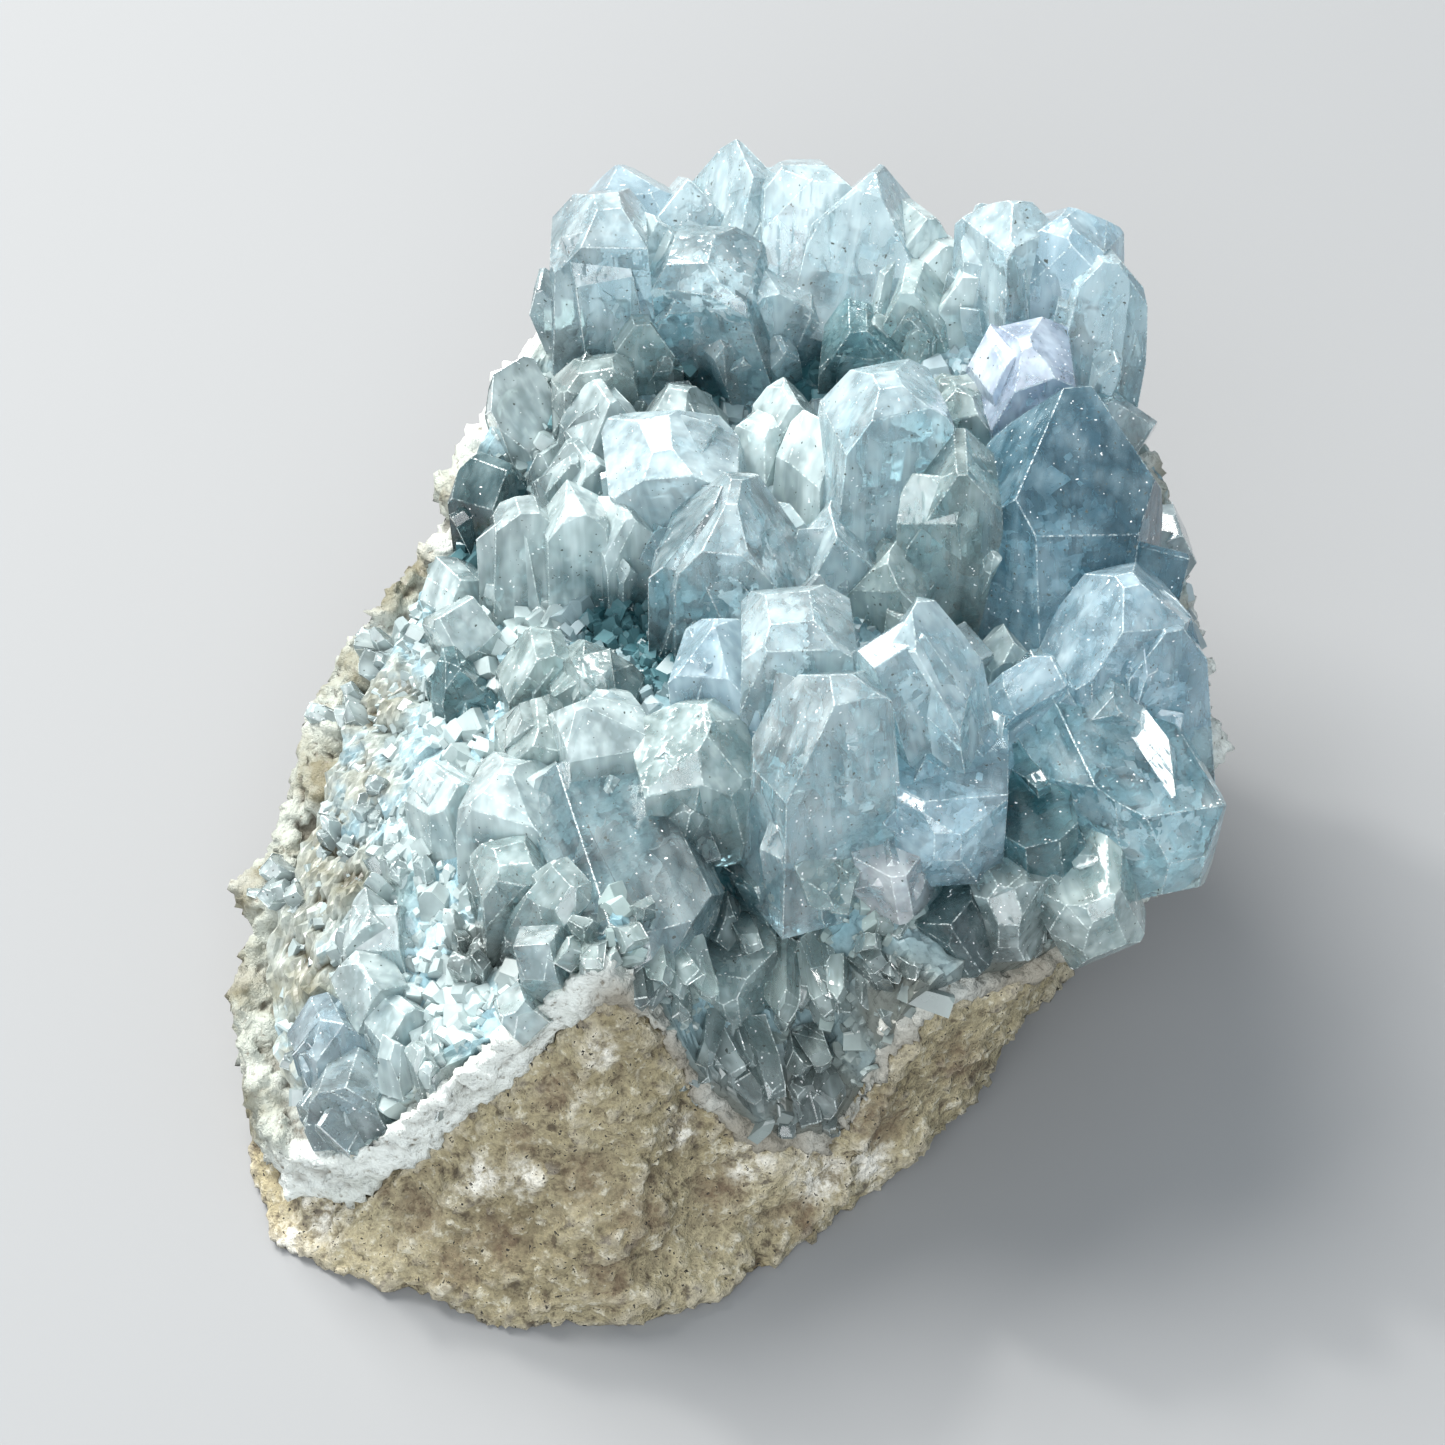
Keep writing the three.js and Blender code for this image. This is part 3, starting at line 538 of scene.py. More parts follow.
def small_crystals():
    draw = chances(7)
    made = []
    forms = list(FORMS)
    for gx in np.arange(*FILLED_X, FILLER_PITCH):
        for gy in np.arange(*FILLED_Y, FILLER_PITCH):
            x = gx + (next(draw) - 0.5) * FILLER_PITCH
            y = gy + (next(draw) - 0.5) * FILLER_PITCH
            length = 3 + next(draw) * 3
            width = 3 + next(draw) * 2.6
            depth = width * (0.65 + next(draw) * 0.3)
            roll = next(draw) * 180
            right = x * 0.8 + (next(draw) - 0.5) * 30
            lean = leaning(right, y * 0.7 - 8 + (next(draw) - 0.5) * 30)
            form = forms[int(next(draw) * len(forms))]
            if math.hypot(x, y) > rim_radius(math.atan2(y, x)) - FILLER_RIM:
                continue
            foot = np.array([x, y, float(crust_height(x, y))])
            tip = foot + lean * length
            room = [gap_to_line(tip, c.foot, c.tip) - c.depth / 2 for c in noticed]
            if min(room) < FILLER_CLEARANCE:
                continue
            look = look_of_ground(foot)
            made.append(Crystal(foot, tip, width, depth, roll, form, look, draw))
    return made


fillers = small_crystals()
print(len(fillers), "small crystals fill the gaps")

# %% [markdown]
# ## Twins and satellites
#
# No crystal on the real piece is a tidy block. Most are two or three grown into one, a few degrees
# out of line, with smaller ones round their feet. So each big crystal gets a twin that nearly
# fills it and some satellites. On the sugary slope and in the earthy pocket, a small crystal
# breaks up into several smaller ones.

# %% Companions of a crystal
TWINNED_WIDTHS = (4.4, 11.2)
SATELLITE_PITCH = 1.8
FRONT_CROWDED_BELOW = 7.5
WIDEST_OVERHANG = 1.5


def tilted(way, degrees, turn):
    side = np.cross(way, [0.3, 0.2, 0.93])
    side = side / np.linalg.norm(side)
    side = side * math.cos(turn) + np.cross(way, side) * math.sin(turn)
    lean = math.radians(degrees)
    return way * math.cos(lean) + side * math.sin(lean), side


def beside(parent, draw, length, width, degrees, out):
    way, side = tilted(parent.basis[2], degrees, next(draw) * 2 * math.pi)
    foot = parent.foot + side * out
    forms = list(FORMS) if width > 3 else ["wedge", "point"]
    form = forms[int(next(draw) * len(forms))]
    roll = next(draw) * 180
    depth = width * (0.7 + 0.25 * next(draw))
    crystal = Crystal(foot, foot + way * length, width, depth, roll, form, parent.look, draw)
    x, y = crystal.tip[:2]
    inside = math.hypot(x, y) < rim_radius(math.atan2(y, x)) + WIDEST_OVERHANG
    return [crystal] if inside else []


def companions(parent, draw):
    made = []
    narrowest, widest = TWINNED_WIDTHS
    if narrowest <= parent.width < widest:
        share = 0.88 + 0.07 * next(draw)
        twin = parent.width * (0.74 + 0.1 * next(draw))
        made.extend(beside(parent, draw, parent.length * share, twin, 4 + 4 * next(draw), 0.4))
    for _ in range(int(parent.width / SATELLITE_PITCH)):
        length = parent.length * (0.25 + 0.35 * next(draw))
        width = parent.width * (0.24 + 0.2 * next(draw))
        out = parent.width * 0.4
        for satellite in beside(parent, draw, length, width, 8 + 20 * next(draw), out):
            in_front = (satellite.tip - parent.tip) @ INTO < -0.25 * length + parent.length * 0.2
            if parent.width < FRONT_CROWDED_BELOW or not in_front:
                made.append(satellite)
    return made


wide_enough = sum(c.width >= TWINNED_WIDTHS[0] for c in noticed)
print(wide_enough, "noticed crystals are wide enough for a twin")

# %% All the crystals
FINE_FROM = 0.3
NARROWEST = 0.9
BROKEN_BIG = (13, 0.62)
BROKEN_SMALL = (6, 0.42)


def broken_up(parent, draw, pieces, longest):
    made = []
    for _ in range(pieces):
        length = parent.length * longest * (0.4 + 0.6 * next(draw))
        width = parent.width * (0.18 + 0.22 * next(draw))
        out = parent.width * 0.6 * next(draw)
        made.extend(beside(parent, draw, length, width, 5 + 22 * next(draw), out))
    return made


def fine_grained(crystal):
    ground = {"milky": WHITE_GROUND, "grey": EARTHY_SHADED_GROUND + FINE_GROUND}.get(crystal.look, [])
    return patches(crystal.foot[None], ground)[0] > FINE_FROM


def all_crystals():
    draw = chances(1201)
    made = []
    for parent in noticed:
        if fine_grained(parent):
            made.extend(broken_up(parent, draw, *BROKEN_BIG))
        else:
            made.extend([parent, *companions(parent, draw)])
    for parent in fillers:
        made.extend(broken_up(parent, draw, *BROKEN_SMALL) if fine_grained(parent) else [parent])
    return [c for c in made if c.width > NARROWEST]


crystals = all_crystals()
print(len(crystals), "crystals in all")

# %% [markdown]
# ## Meshes from points and faces
#
# Blender makes a mesh from a list of points and a list of faces. All the shapes here are worked out
# in millimetres, as on paper, and turned into metres in one place, so no size is off by a thousand.

# %% A mesh object from millimetres
def linear(*levels):
    return tuple((v / 12.92 if v <= 0.04045 else ((v + 0.055) / 1.055) ** 2.4) for v in levels)


def make_object(name, points, faces):
    mesh = bpy.data.meshes.new(name)
    mesh.from_pydata(np.asarray(points) * MM, [], faces)
    mesh.update()
    piece = bpy.data.objects.new(name, mesh)
    bpy.context.scene.collection.objects.link(piece)
    return piece


def read(items, name, kind=float, width=1):
    values = np.zeros(len(items) * width, kind)
    items.foreach_get(name, values)
    return values.reshape(-1, width) if width > 1 else values


def write_on_corners(mesh, name, kind, values):
    layer = mesh.attributes.new(name, kind, "CORNER")
    field = {"FLOAT": "value", "FLOAT_VECTOR": "vector", "FLOAT_COLOR": "color"}[kind]
    layer.data.foreach_set(field, np.ascontiguousarray(values, dtype=np.float32).ravel())


def points_of_corners(mesh):
    return read(mesh.vertices, "co", width=3)[read(mesh.loops, "vertex_index", int)] / MM


print("a grey of 0.5 for the eye is", round(linear(0.5)[0], 2), "in light")

# %% [markdown]
# ## Joining the crystals into one clear body
#
# Crystals that grow side by side run into one another. Left as overlapping shells, each hidden wall
# inside would bend and mirror the light, and the cluster would look like a heap of broken glass.
# So each crystal first gets a fine bevel, because a worn edge is what catches the light, and then
# a union joins them all. The manifold solver does that in a moment. Every face remembers its crystal
# by number, so that each one can keep its own tint after the union.

# %% Bevelled crystals
EDGE_BEVEL = 0.07


def bevelled_shell(number, crystal):
    chips = ROUGH_CHIPS if crystal.look in ("milky", "grey") else CLEAN_CHIPS
    bm = cut_block(crystal.cuts, crystal.width, chances(5001 + number), chips)
    for v in bm.verts:
        v.co = Vector(np.array(v.co) @ crystal.basis + crystal.tip)
    own = bm.faces.layers.int.new("crystal")
    edge = bm.faces.layers.int.new("edge")
    made = bmesh.ops.bevel(
        bm, geom=list(bm.edges), offset=EDGE_BEVEL, segments=1, affect="EDGES",
        clamp_overlap=True,
    )
    for face in made["faces"]:
        face[edge] = 1
    for face in bm.faces:
        face[own] = number
    bmesh.ops.triangulate(bm, faces=bm.faces)
    if bm.calc_volume(signed=True) < 0 or not all(edge.is_manifold for edge in bm.edges):
        print("crystal", number, "is open or inside out")
    bmesh.ops.scale(bm, vec=(MM, MM, MM), verts=bm.verts)
    mesh = bpy.data.meshes.new("shell")
    bm.to_mesh(mesh)
    bm.free()
    return bpy.data.objects.new("shell", mesh)


def union_of_two(first, second):
    for shell in (first, second):
        bpy.context.scene.collection.objects.link(shell)
    join = first.modifiers.new("join", "BOOLEAN")
    join.operation = "UNION"
    join.object = second
    join.solver = "MANIFOLD"
    graph = bpy.context.evaluated_depsgraph_get()
    mesh = bpy.data.meshes.new_from_object(first.evaluated_get(graph))
    for shell in (first, second):
        bpy.data.meshes.remove(shell.data)
    return bpy.data.objects.new("shell", mesh)


def union_of(name, shells):
    while len(shells) > 1:
        pairs = [shells[i : i + 2] for i in range(0, len(shells), 2)]
        shells = [union_of_two(*pair) if len(pair) == 2 else pair[0] for pair in pairs]
    piece = shells[0]
    piece.name = piece.data.name = name
    bpy.context.scene.collection.objects.link(piece)
    return piece


cluster = union_of("crystals", [bevelled_shell(i, c) for i, c in enumerate(crystals)])
print("joined crystals:", len(cluster.data.polygons), "faces")
print("kept attributes:", [a.name for a in cluster.data.attributes])

# %% [markdown]
# ## What each crystal looks like
#
# Celestite runs from ice-clear to milky on one specimen. A look is a tint, a clarity and a frost.
# They are written on the mesh, so that one material can serve all the crystals. "growth" holds each
# crystal's own coordinates with its axis upright, so that growth lines follow the crystal. The tint
# also carries painted shade: the feet are darker the deeper they sit, as light fades in a crowd of
# crystals, and the hollows, the earthy pocket, the white slope and the shaded ground are darker too.

# %% Looks written on the faces
LOOKS = {
    "clear": ((0.93, 0.99, 1.00), 0.94, 0.03),
    "glassy": ((0.82, 0.89, 0.90), 0.95, 0.00),
    "pale": ((0.90, 0.98, 1.00), 0.84, 0.08),
    "milky": ((0.85, 0.92, 0.92), 0.72, 0.12),
    "blue": ((0.84, 0.95, 1.00), 0.87, 0.05),
    "steel": ((0.50, 0.67, 0.74), 0.93, 0.03),
    "teal": ((0.54, 0.72, 0.74), 0.93, 0.03),
    "lilac": ((0.86, 0.91, 1.00), 0.74, 0.08),
    "grey": ((0.75, 0.83, 0.82), 0.80, 0.12),
    "rose": ((0.96, 0.96, 0.97), 0.80, 0.12),
}
PAINTED_SHADE_TEAL = np.array(linear(0.22, 0.42, 0.46))
SHADE_FROM = 0.5
SHADE_DEPTH = 8.0
SHADE_EVERYWHERE = 0.06
WHITE_STAYS_LIT = 0.8
# Painted shade on the crystals: darker in the earthy pocket, on the white slope, which faces the key
# lamp, and on the shaded ground.
GROUND_SHADES = ((EARTHY_SHADED_GROUND, 0.55), (WHITE_GROUND, 0.30), (SHADED_GROUND, 0.30))
FARTHEST_PATTERN = 50


def ground_shade(points):
    shade = np.ones(len(points))
    for ground, strength in GROUND_SHADES:
        shade = shade * (1 - strength * patches(points, ground))
    return shade[:, None]


# Painted shade: the feet of the crystals are tinted toward teal, darker the deeper they sit and near a
# hollow.
def depth_shade(points):
    above = points[:, 2] - crust_height(points[:, 0], points[:, 1])
    sunk = 1 - np.clip((above - SHADE_FROM) / SHADE_DEPTH, 0, 1)
    dark = np.clip(SHADE_EVERYWHERE + patches(points, SHADED_HOLLOWS), 0, 1)
    dark = dark * (1 - WHITE_STAYS_LIT * patches(points, WHITE_GROUND)) * sunk
    return 1 + (PAINTED_SHADE_TEAL - 1) * dark[:, None]


def write_looks(piece, members):
    mesh = piece.data
    loops = read(mesh.polygons, "loop_total", int)
    whose = np.repeat(read(mesh.attributes["crystal"].data, "value", int), loops)
    edge = np.repeat(read(mesh.attributes["edge"].data, "value", int), loops)
    draw = chances(311)
    tint = np.array([linear(*LOOKS[c.look][0]) for c in members])
    tint *= np.array([[0.94 + 0.08 * next(draw)] for _ in members])
    clarity = np.array([LOOKS[c.look][1] + 0.12 * (next(draw) - 0.5) for c in members])
    frost = np.array([LOOKS[c.look][2] + 0.2 * (next(draw) - 0.5) for c in members])
    shift = np.array([[next(draw) * FARTHEST_PATTERN for _ in range(3)] for _ in members])
    places = points_of_corners(mesh)
    away = places - np.array([c.tip for c in members])[whose]
    growth = np.einsum("nij,nj->ni", np.array([c.basis for c in members])[whose], away)
    # From here the tint also carries painted shade, on top of each crystal's own colour.
    tint = tint[whose] * depth_shade(places) * ground_shade(places)
    body = np.column_stack([clarity[whose], edge, np.clip(frost[whose], 0, 1)])
    write_on_corners(mesh, "growth", "FLOAT_VECTOR", growth + shift[whose] * [1, 1, 0])
    write_on_corners(mesh, "tint", "FLOAT_COLOR", np.column_stack([tint, np.ones(len(tint))]))
    write_on_corners(mesh, "body", "FLOAT_VECTOR", body)
    for name in ("crystal", "edge"):
        mesh.attributes.remove(mesh.attributes[name])


write_looks(cluster, crystals)
print("looks in use:", sorted({c.look for c in crystals}))

# %% [markdown]
# ## Mixing materials
#
# A node material is a small wiring job. This class holds one material as a mix of nodes, with a
# short way to add each kind that the lesson needs, so that a material reads like a recipe. Drawing
# the same nodes by hand in the editor works as well, but takes longer to change.

# %% A class for node materials
class Mix:
    """One material. Its colours are given as the eye sees them, from 0 to 1."""

    def __init__(self, name):
        self.material = bpy.data.materials.new(name)
        self.material.use_nodes = True
        self.tree = self.material.node_tree
        self.tree.nodes.clear()
        self.output = self.node("ShaderNodeOutputMaterial")
        self.shader = self.node("ShaderNodeBsdfPrincipled")
        self.put(self.output.inputs["Surface"], self.shader.outputs["BSDF"])

    def put(self, socket, value):
        if isinstance(value, bpy.types.NodeSocket):
            self.tree.links.new(value, socket)
        else:
            socket.default_value = value

    def set(self, name, value):
        self.put(self.shader.inputs[name], value)

    def node(self, kind, inputs=(), **settings):
        node = self.tree.nodes.new(kind)
        for key, value in settings.items():
            setattr(node, key, value)
        for key, value in dict(inputs).items():
            self.put(node.inputs[key], value)
        return node

    def where(self):
        return self.node("ShaderNodeTexCoord").outputs["Object"]

    def written(self, name, output="Vector"):
        return self.node("ShaderNodeAttribute", attribute_name=name).outputs[output]

    def parts(self, vector):
        return self.node("ShaderNodeSeparateXYZ", {0: vector}).outputs

    def math(self, operation, a, b, clamp):
        return self.node("ShaderNodeMath", {0: a, 1: b}, operation=operation, use_clamp=clamp).outputs[0]

    def plus(self, a, b, clamp=False):
        return self.math("ADD", a, b, clamp)

    def minus(self, a, b, clamp=False):
        return self.math("SUBTRACT", a, b, clamp)

    def times(self, a, b):
        return self.math("MULTIPLY", a, b, False)

    def spread(self, value, low, high, to_low=0.0, to_high=1.0):
        ins = {"Value": value, "From Min": low, "From Max": high, "To Min": to_low, "To Max": to_high}
        return self.node("ShaderNodeMapRange", ins).outputs["Result"]

    def noise(self, where, scale, detail=3.0, rough=0.6, stretch=(1, 1, 1)):
        place = self.node("ShaderNodeVectorMath", {0: where, 1: stretch}, operation="MULTIPLY")
        ins = {"Vector": place.outputs[0], "Scale": scale, "Detail": detail, "Roughness": rough}
        return self.node("ShaderNodeTexNoise", ins).outputs["Fac"]

    def blend(self, share, a, b, mode="MIX"):
        node = self.node("ShaderNodeMix", data_type="RGBA", blend_type=mode)
        for socket, value in ((0, share), (6, a), (7, b)):
            self.put(node.inputs[socket], (*linear(*value), 1.0) if isinstance(value, tuple) else value)
        return node.outputs[2]

    def coats(self, colour, *layers):
        for share, coat in layers:
            colour = self.blend(share, colour, coat)
        return colour

    def bump(self, height, distance, strength, normal=None):
        ins = {"Height": height, "Distance": distance, "Strength": strength}
        if normal is not None:
            ins["Normal"] = normal
        return self.node("ShaderNodeBump", ins).outputs["Normal"]

    def paint(self, piece):
        piece.data.materials.clear()
        piece.data.materials.append(self.material)


print("a mix knows:", ", ".join(name for name in vars(Mix) if not name.startswith("_")))

# %% [markdown]
# ## Celestite
#
# Clear crystal is plain glass physics: transmission lets light in, the index of refraction bends it
# as celestite does (1.62), and absorption takes the red out on the way, which is why thick parts are
# bluer than thin ones. Inside, milky clouds and fine lines follow the way the crystal grew: that
# share isn't transmitted and scatters light back in the crystal's tint, which carries painted shade.
# Near each tip a little milk is added as painted light. A few grains of dirt sit in it, and tiny
# painted white glints stand in for sparkle. The faces wave a little, as grown faces do, and the edges
# are chipped and frosted, because they wear first; their white is also a painted highlight along the
# edges. A plain glass material would be quicker, but looks like ice.

# %% Celestite material
CELESTITE_IOR = 1.62
ABSORPTION = (0.42, 0.83, 0.93, 1.0)
ABSORPTION_DENSITY = 34.0
UNEVENNESS = 0.00004
GROWN_WAVES = 6.0
CHIPPED_RELIEF = 3.0


def celestite():
    mix = Mix("celestite")
    growth = mix.written("growth")
    clarity, edge, frost = mix.parts(mix.written("body"))
    clouds = mix.noise(growth, 0.34, 2.0, 0.62, (1.3, 1.3, 0.62))
    lines = mix.noise(growth, 0.6, 1.0, 0.5, (3.4, 3.4, 0.16))
    grime = mix.noise(growth, 2.6, 1.0, 0.7)
    cloudy = mix.plus(mix.spread(clouds, 0.40, 0.75), mix.times(mix.spread(lines, 0.52, 0.72), 0.2))
    # Painted light: a little extra milk near each tip makes the tips look lit from inside.
    painted_tip_light = mix.spread(mix.parts(growth)[2], -4.5, -0.5, 0, 0.07)
    milk_and_tip_light = mix.plus(mix.times(cloudy, mix.minus(1.16, clarity)), painted_tip_light, clamp=True)
    # Chipped edges: frosted white wear that also works as a painted highlight along the edges.
    chipped_and_edge_highlight = mix.times(edge, mix.spread(grime, 0.44, 0.64, 0.08, 0.7))
    specks = mix.spread(grime, 0.715, 0.74)
    # Painted glints: tiny pure white spots with no transmission.
    painted_glints = mix.spread(grime, 0.262, 0.245)
    mix.set("Base Color", mix.coats(
        mix.written("tint", "Color"), (milk_and_tip_light, (0.90, 0.95, 0.95)), (chipped_and_edge_highlight, (0.92, 0.96, 0.95)),
        (specks, (0.30, 0.33, 0.32)), (painted_glints, (1.0, 1.0, 1.0)),
    ))
    clear = mix.minus(mix.minus(clarity, milk_and_tip_light), mix.times(chipped_and_edge_highlight, 0.5), clamp=True)
    mix.set("Transmission Weight", mix.minus(clear, mix.plus(specks, painted_glints), clamp=True))
    rough = mix.plus(mix.spread(lines, 0.35, 0.8, 0.02, 0.12), mix.times(frost, 0.20))
    mix.set("Roughness", mix.plus(rough, mix.times(chipped_and_edge_highlight, 0.35), clamp=True))
    uneven = mix.plus(lines, mix.times(clouds, GROWN_WAVES))
    uneven = mix.plus(uneven, mix.times(chipped_and_edge_highlight, CHIPPED_RELIEF))
    mix.set("Normal", mix.bump(uneven, UNEVENNESS, 0.6))
    mix.set("IOR", CELESTITE_IOR)
    depth = mix.node("ShaderNodeVolumeAbsorption")
    depth.inputs["Color"].default_value = ABSORPTION
    depth.inputs["Density"].default_value = ABSORPTION_DENSITY
    mix.put(mix.output.inputs["Volume"], depth.outputs["Volume"])
    return mix


celestite().paint(cluster)
print("celestite's index of refraction:", CELESTITE_IOR)

# %% [markdown]
# ## Fractures and veils inside
#
# The white flashes inside a clear crystal are thin fractures that mirror the light. A painted
# texture would sit on the surface, so they are modelled as what they are: crinkled sheets thinner
# than paper, ragged where noise eats them away, each trimmed to stay inside its own crystal.

# %% One veil
VEIL_CELLS = 16
VEIL_THICKNESS = 0.03
VEIL_MARGIN = 0.25
CELL_SIDES = (((0, -1), (0, 1)), ((1, 0), (1, 2)), ((0, 1), (2, 3)), ((-1, 0), (3, 0)))


def veil_sheet(crystal, draw, seed):
    reach = crystal.width * (0.18 + 0.24 * next(draw))
    middle = np.array([
        (next(draw) - 0.5) * crystal.width * 0.5,
        (next(draw) - 0.5) * crystal.depth * 0.4,
        -crystal.length * (0.2 + 0.65 * next(draw)),
    ])
    facing = Vector((next(draw) - 0.5, next(draw) - 0.5, (next(draw) - 0.5) * 1.6)).normalized()
    turn = np.array(facing.to_track_quat("Z", "Y").to_matrix())
    steps = np.linspace(-1, 1, VEIL_CELLS + 1)
    gx, gy = (grid.ravel() for grid in np.meshgrid(steps, steps, indexing="ij"))
    offset = Vector((seed * 7.3, 1.7, 0))
    ripple = np.array([waves_at(Vector((a * 1.6, b * 1.6, 0)) + offset) for a, b in zip(gx, gy)])
    ragged = np.array([waves_at(Vector((a * 3.1, b * 2.0, 9)) + offset) for a, b in zip(gx, gy)])
    sheet = np.column_stack([gx, gy * 0.8, ripple * 0.4]) * reach
    places = (sheet @ turn.T + middle) @ crystal.basis + crystal.tip
    keep = crystal.holds(places, VEIL_MARGIN) & (np.hypot(gx, gy) + ragged * 1.1 < 0.78)
    side = VEIL_CELLS + 1
    return places, keep.reshape(side, side), turn[:, 2] @ crystal.basis


def veil_faces(keep, start, count):
    side = VEIL_CELLS + 1
    cells = keep[:-1, :-1] & keep[1:, :-1] & keep[:-1, 1:] & keep[1:, 1:]
    around = np.pad(cells, 1)
    faces = []
    for i, j in np.argwhere(cells):
        a = start + i * side + j
        quad = [a, a + side, a + side + 1, a + 1]
        faces.append(quad[::-1])
        faces.append([v + count for v in quad])
        for (di, dj), (p, q) in CELL_SIDES:
            if not around[i + di + 1, j + dj + 1]:
                faces.append([quad[p], quad[q], quad[q] + count, quad[p] + count])
    return faces


print("a whole veil would have", VEIL_CELLS**2, "cells")

# %% Veils in the wide crystals
VEILED_FROM = 5.4
VEIL_PITCH = 3
MORE_IN_GLASSY = 5


def veils():
    draw = chances(77)
    points, faces = [], []
    for number, crystal in enumerate(noticed):
        if crystal.width < VEILED_FROM or crystal.look == "milky" or fine_grained(crystal):
            continue
        sheets = 1 + int(crystal.width / VEIL_PITCH) + MORE_IN_GLASSY * (crystal.look == "glassy")
        for k in range(sheets):
            places, keep, facing = veil_sheet(crystal, draw, number * 9 + k)
            faces.extend(veil_faces(keep, sum(len(p) for p in points), len(places)))
            points.extend([places, places + facing * VEIL_THICKNESS])
    used, index = np.unique(np.array(faces), return_inverse=True)
    return make_object("veils", np.vstack(points)[used], index.reshape(-1, 4).tolist())


def veil_material():
    mix = Mix("veil")
    cloud = mix.noise(mix.where(), 900.0, 4.0)
    mix.set("Base Color", mix.blend(mix.spread(cloud, 0.3, 0.7), (0.80, 0.90, 0.94), (0.97, 0.99, 1.0)))
    mix.set("Roughness", mix.spread(cloud, 0.3, 0.7, 0.2, 0.5))
    mix.set("Transmission Weight", 0.3)
    return mix


fractures = veils()
veil_material().paint(fractures)
print("veil faces:", len(fractures.data.polygons))

# %% [markdown]
# ## The bed under the crystals
#
# Where the crystals stand too far apart to hide it, the crust shows as a floor of sugary facets. A
# grid in rings follows the crust's own height. Each patch of it, nearest to one of many seed
# points, is tilted its own way, which gives the facets. Where the ground is white, soft lumps are
# pushed out along the slope as well. Sculpting would take longer and repeat less well.

# %% Facets
FACET_SPACING = 1.5
FACET_TILT = 0.55
FACET_LIFT = 0.7
FACET_SINK = 0.25
SEEDED_X = (-46, 46)
SEEDED_Y = (-44, 48)


def seed_points(spacing, seed):
    draw = chances(seed)
    points = []
    for gx in np.arange(*SEEDED_X, spacing):
        for gy in np.arange(*SEEDED_Y, spacing):
            x = gx + (next(draw) - 0.5) * spacing
            y = gy + (next(draw) - 0.5) * spacing
            points.append((x, y, next(draw), next(draw), next(draw)))
    return np.array(points)


def facet_offsets(x, y):
    seeds = seed_points(FACET_SPACING, 61)
    tree = KDTree(len(seeds))
    for i, seed in enumerate(seeds):
        tree.insert((seed[0], seed[1], 0), i)
    tree.balance()
    nearest = seeds[[tree.find((a, b, 0))[1] for a, b in zip(x, y)]]
    tilt = (nearest[:, 2:4] - 0.5) * 2 * FACET_TILT
    rise = (x - nearest[:, 0]) * tilt[:, 0] + (y - nearest[:, 1]) * tilt[:, 1]
    return rise + nearest[:, 4] * FACET_LIFT - FACET_SINK


print("facets:", len(seed_points(FACET_SPACING, 61)))

# %% A ragged rim that leaves some of the seam bare
RIM_RAGGEDNESS = 0.8
RAGGED_FROM = 0.66
RAGGED_OVER = 0.34
WIDEST_RIM_STEP = 14
BARE_RIM = (104, 264)
BARE_RIM_FADE = 12
BARE_RIM_WIDTH = 2.3
WIDEST_AT = 168
WIDER_OVER = 34
WIDER_BY = 1.5


def rim_offsets():
    degrees = list(OUTLINE[:, 0])
    angles = []
    for here, after in zip(degrees, degrees[1:] + [degrees[0] + 360]):
        angles.append(here)
        if after - here > WIDEST_RIM_STEP:
            angles.append(here + (after - here) / 2)
    draw = chances(5)
    offsets = [((next(draw) - 0.5) * 2, (next(draw) - 0.5) * 2) for _ in angles]
    return np.array(angles), np.array(offsets) * RIM_RAGGEDNESS


def bare_rim(degrees):
    first, last = BARE_RIM
    inside = np.minimum(degrees - first, last - degrees)
    wider = np.clip(1 - np.abs(degrees - WIDEST_AT) / WIDER_OVER, 0, 1)
    return (BARE_RIM_WIDTH + WIDER_BY * wider) * np.clip(inside / BARE_RIM_FADE, 0, 1)


print("the bare rim is up to", bare_rim(WIDEST_AT), "mm wide")

# %% Crust bed
BED_RINGS = 150
BED_SECTORS = 440
UNDERSIDE_RINGS = 10
BED_THICKNESS = 2.6
BED_SHRINK = np.array([0.985, 0.985, 1])
FLATTER_ON_WHITE = 0.3
SUGAR_HEIGHT = 0.8
SUGAR_LIFT = 0.45


def bed_points(rings):
    angles = np.arange(BED_SECTORS) / BED_SECTORS * 2 * math.pi
    shares = (np.arange(rings) + 1) / rings
    share, angle = (grid.ravel() for grid in np.meshgrid(shares, angles, indexing="ij"))
    known, offsets = rim_offsets()
    here = np.degrees(angle)
    edge = np.clip((share - RAGGED_FROM) / RAGGED_OVER, 0, 1)
    out, up = (np.interp(here, known, offsets[:, k], period=360) * edge for k in (0, 1))
    radius = (rim_radius(angle) - bare_rim(here)) * share
    z = crust_height(radius * np.cos(angle), radius * np.sin(angle)) + up
    return np.column_stack([(radius + out) * np.cos(angle), (radius + out) * np.sin(angle), z])


def outward(x, y):
    step = 0.6
    dx = (crust_height(x + step, y) - crust_height(x - step, y)) / (2 * step)
    dy = (crust_height(x, y + step) - crust_height(x, y - step)) / (2 * step)
    way = np.stack([-dx, -dy, np.ones_like(dx)], axis=-1)
    return way / np.linalg.norm(way, axis=-1, keepdims=True)


def sugar(points):
    lumps = [waves_at(Vector(p) * 0.42) for p in points]
    grains = [waves_at(Vector(p) * 1.5) for p in points]
    return np.array(lumps) * 1.5 + np.array(grains) * 0.6 - 0.3


def ring_faces(rings, start):
    faces = []
    for row in range(start, start + (rings - 1) * BED_SECTORS, BED_SECTORS):
        for i in range(BED_SECTORS):
            a, b = row + i, row + (i + 1) % BED_SECTORS
            faces.append((a, a + BED_SECTORS, b + BED_SECTORS, b))
    return faces


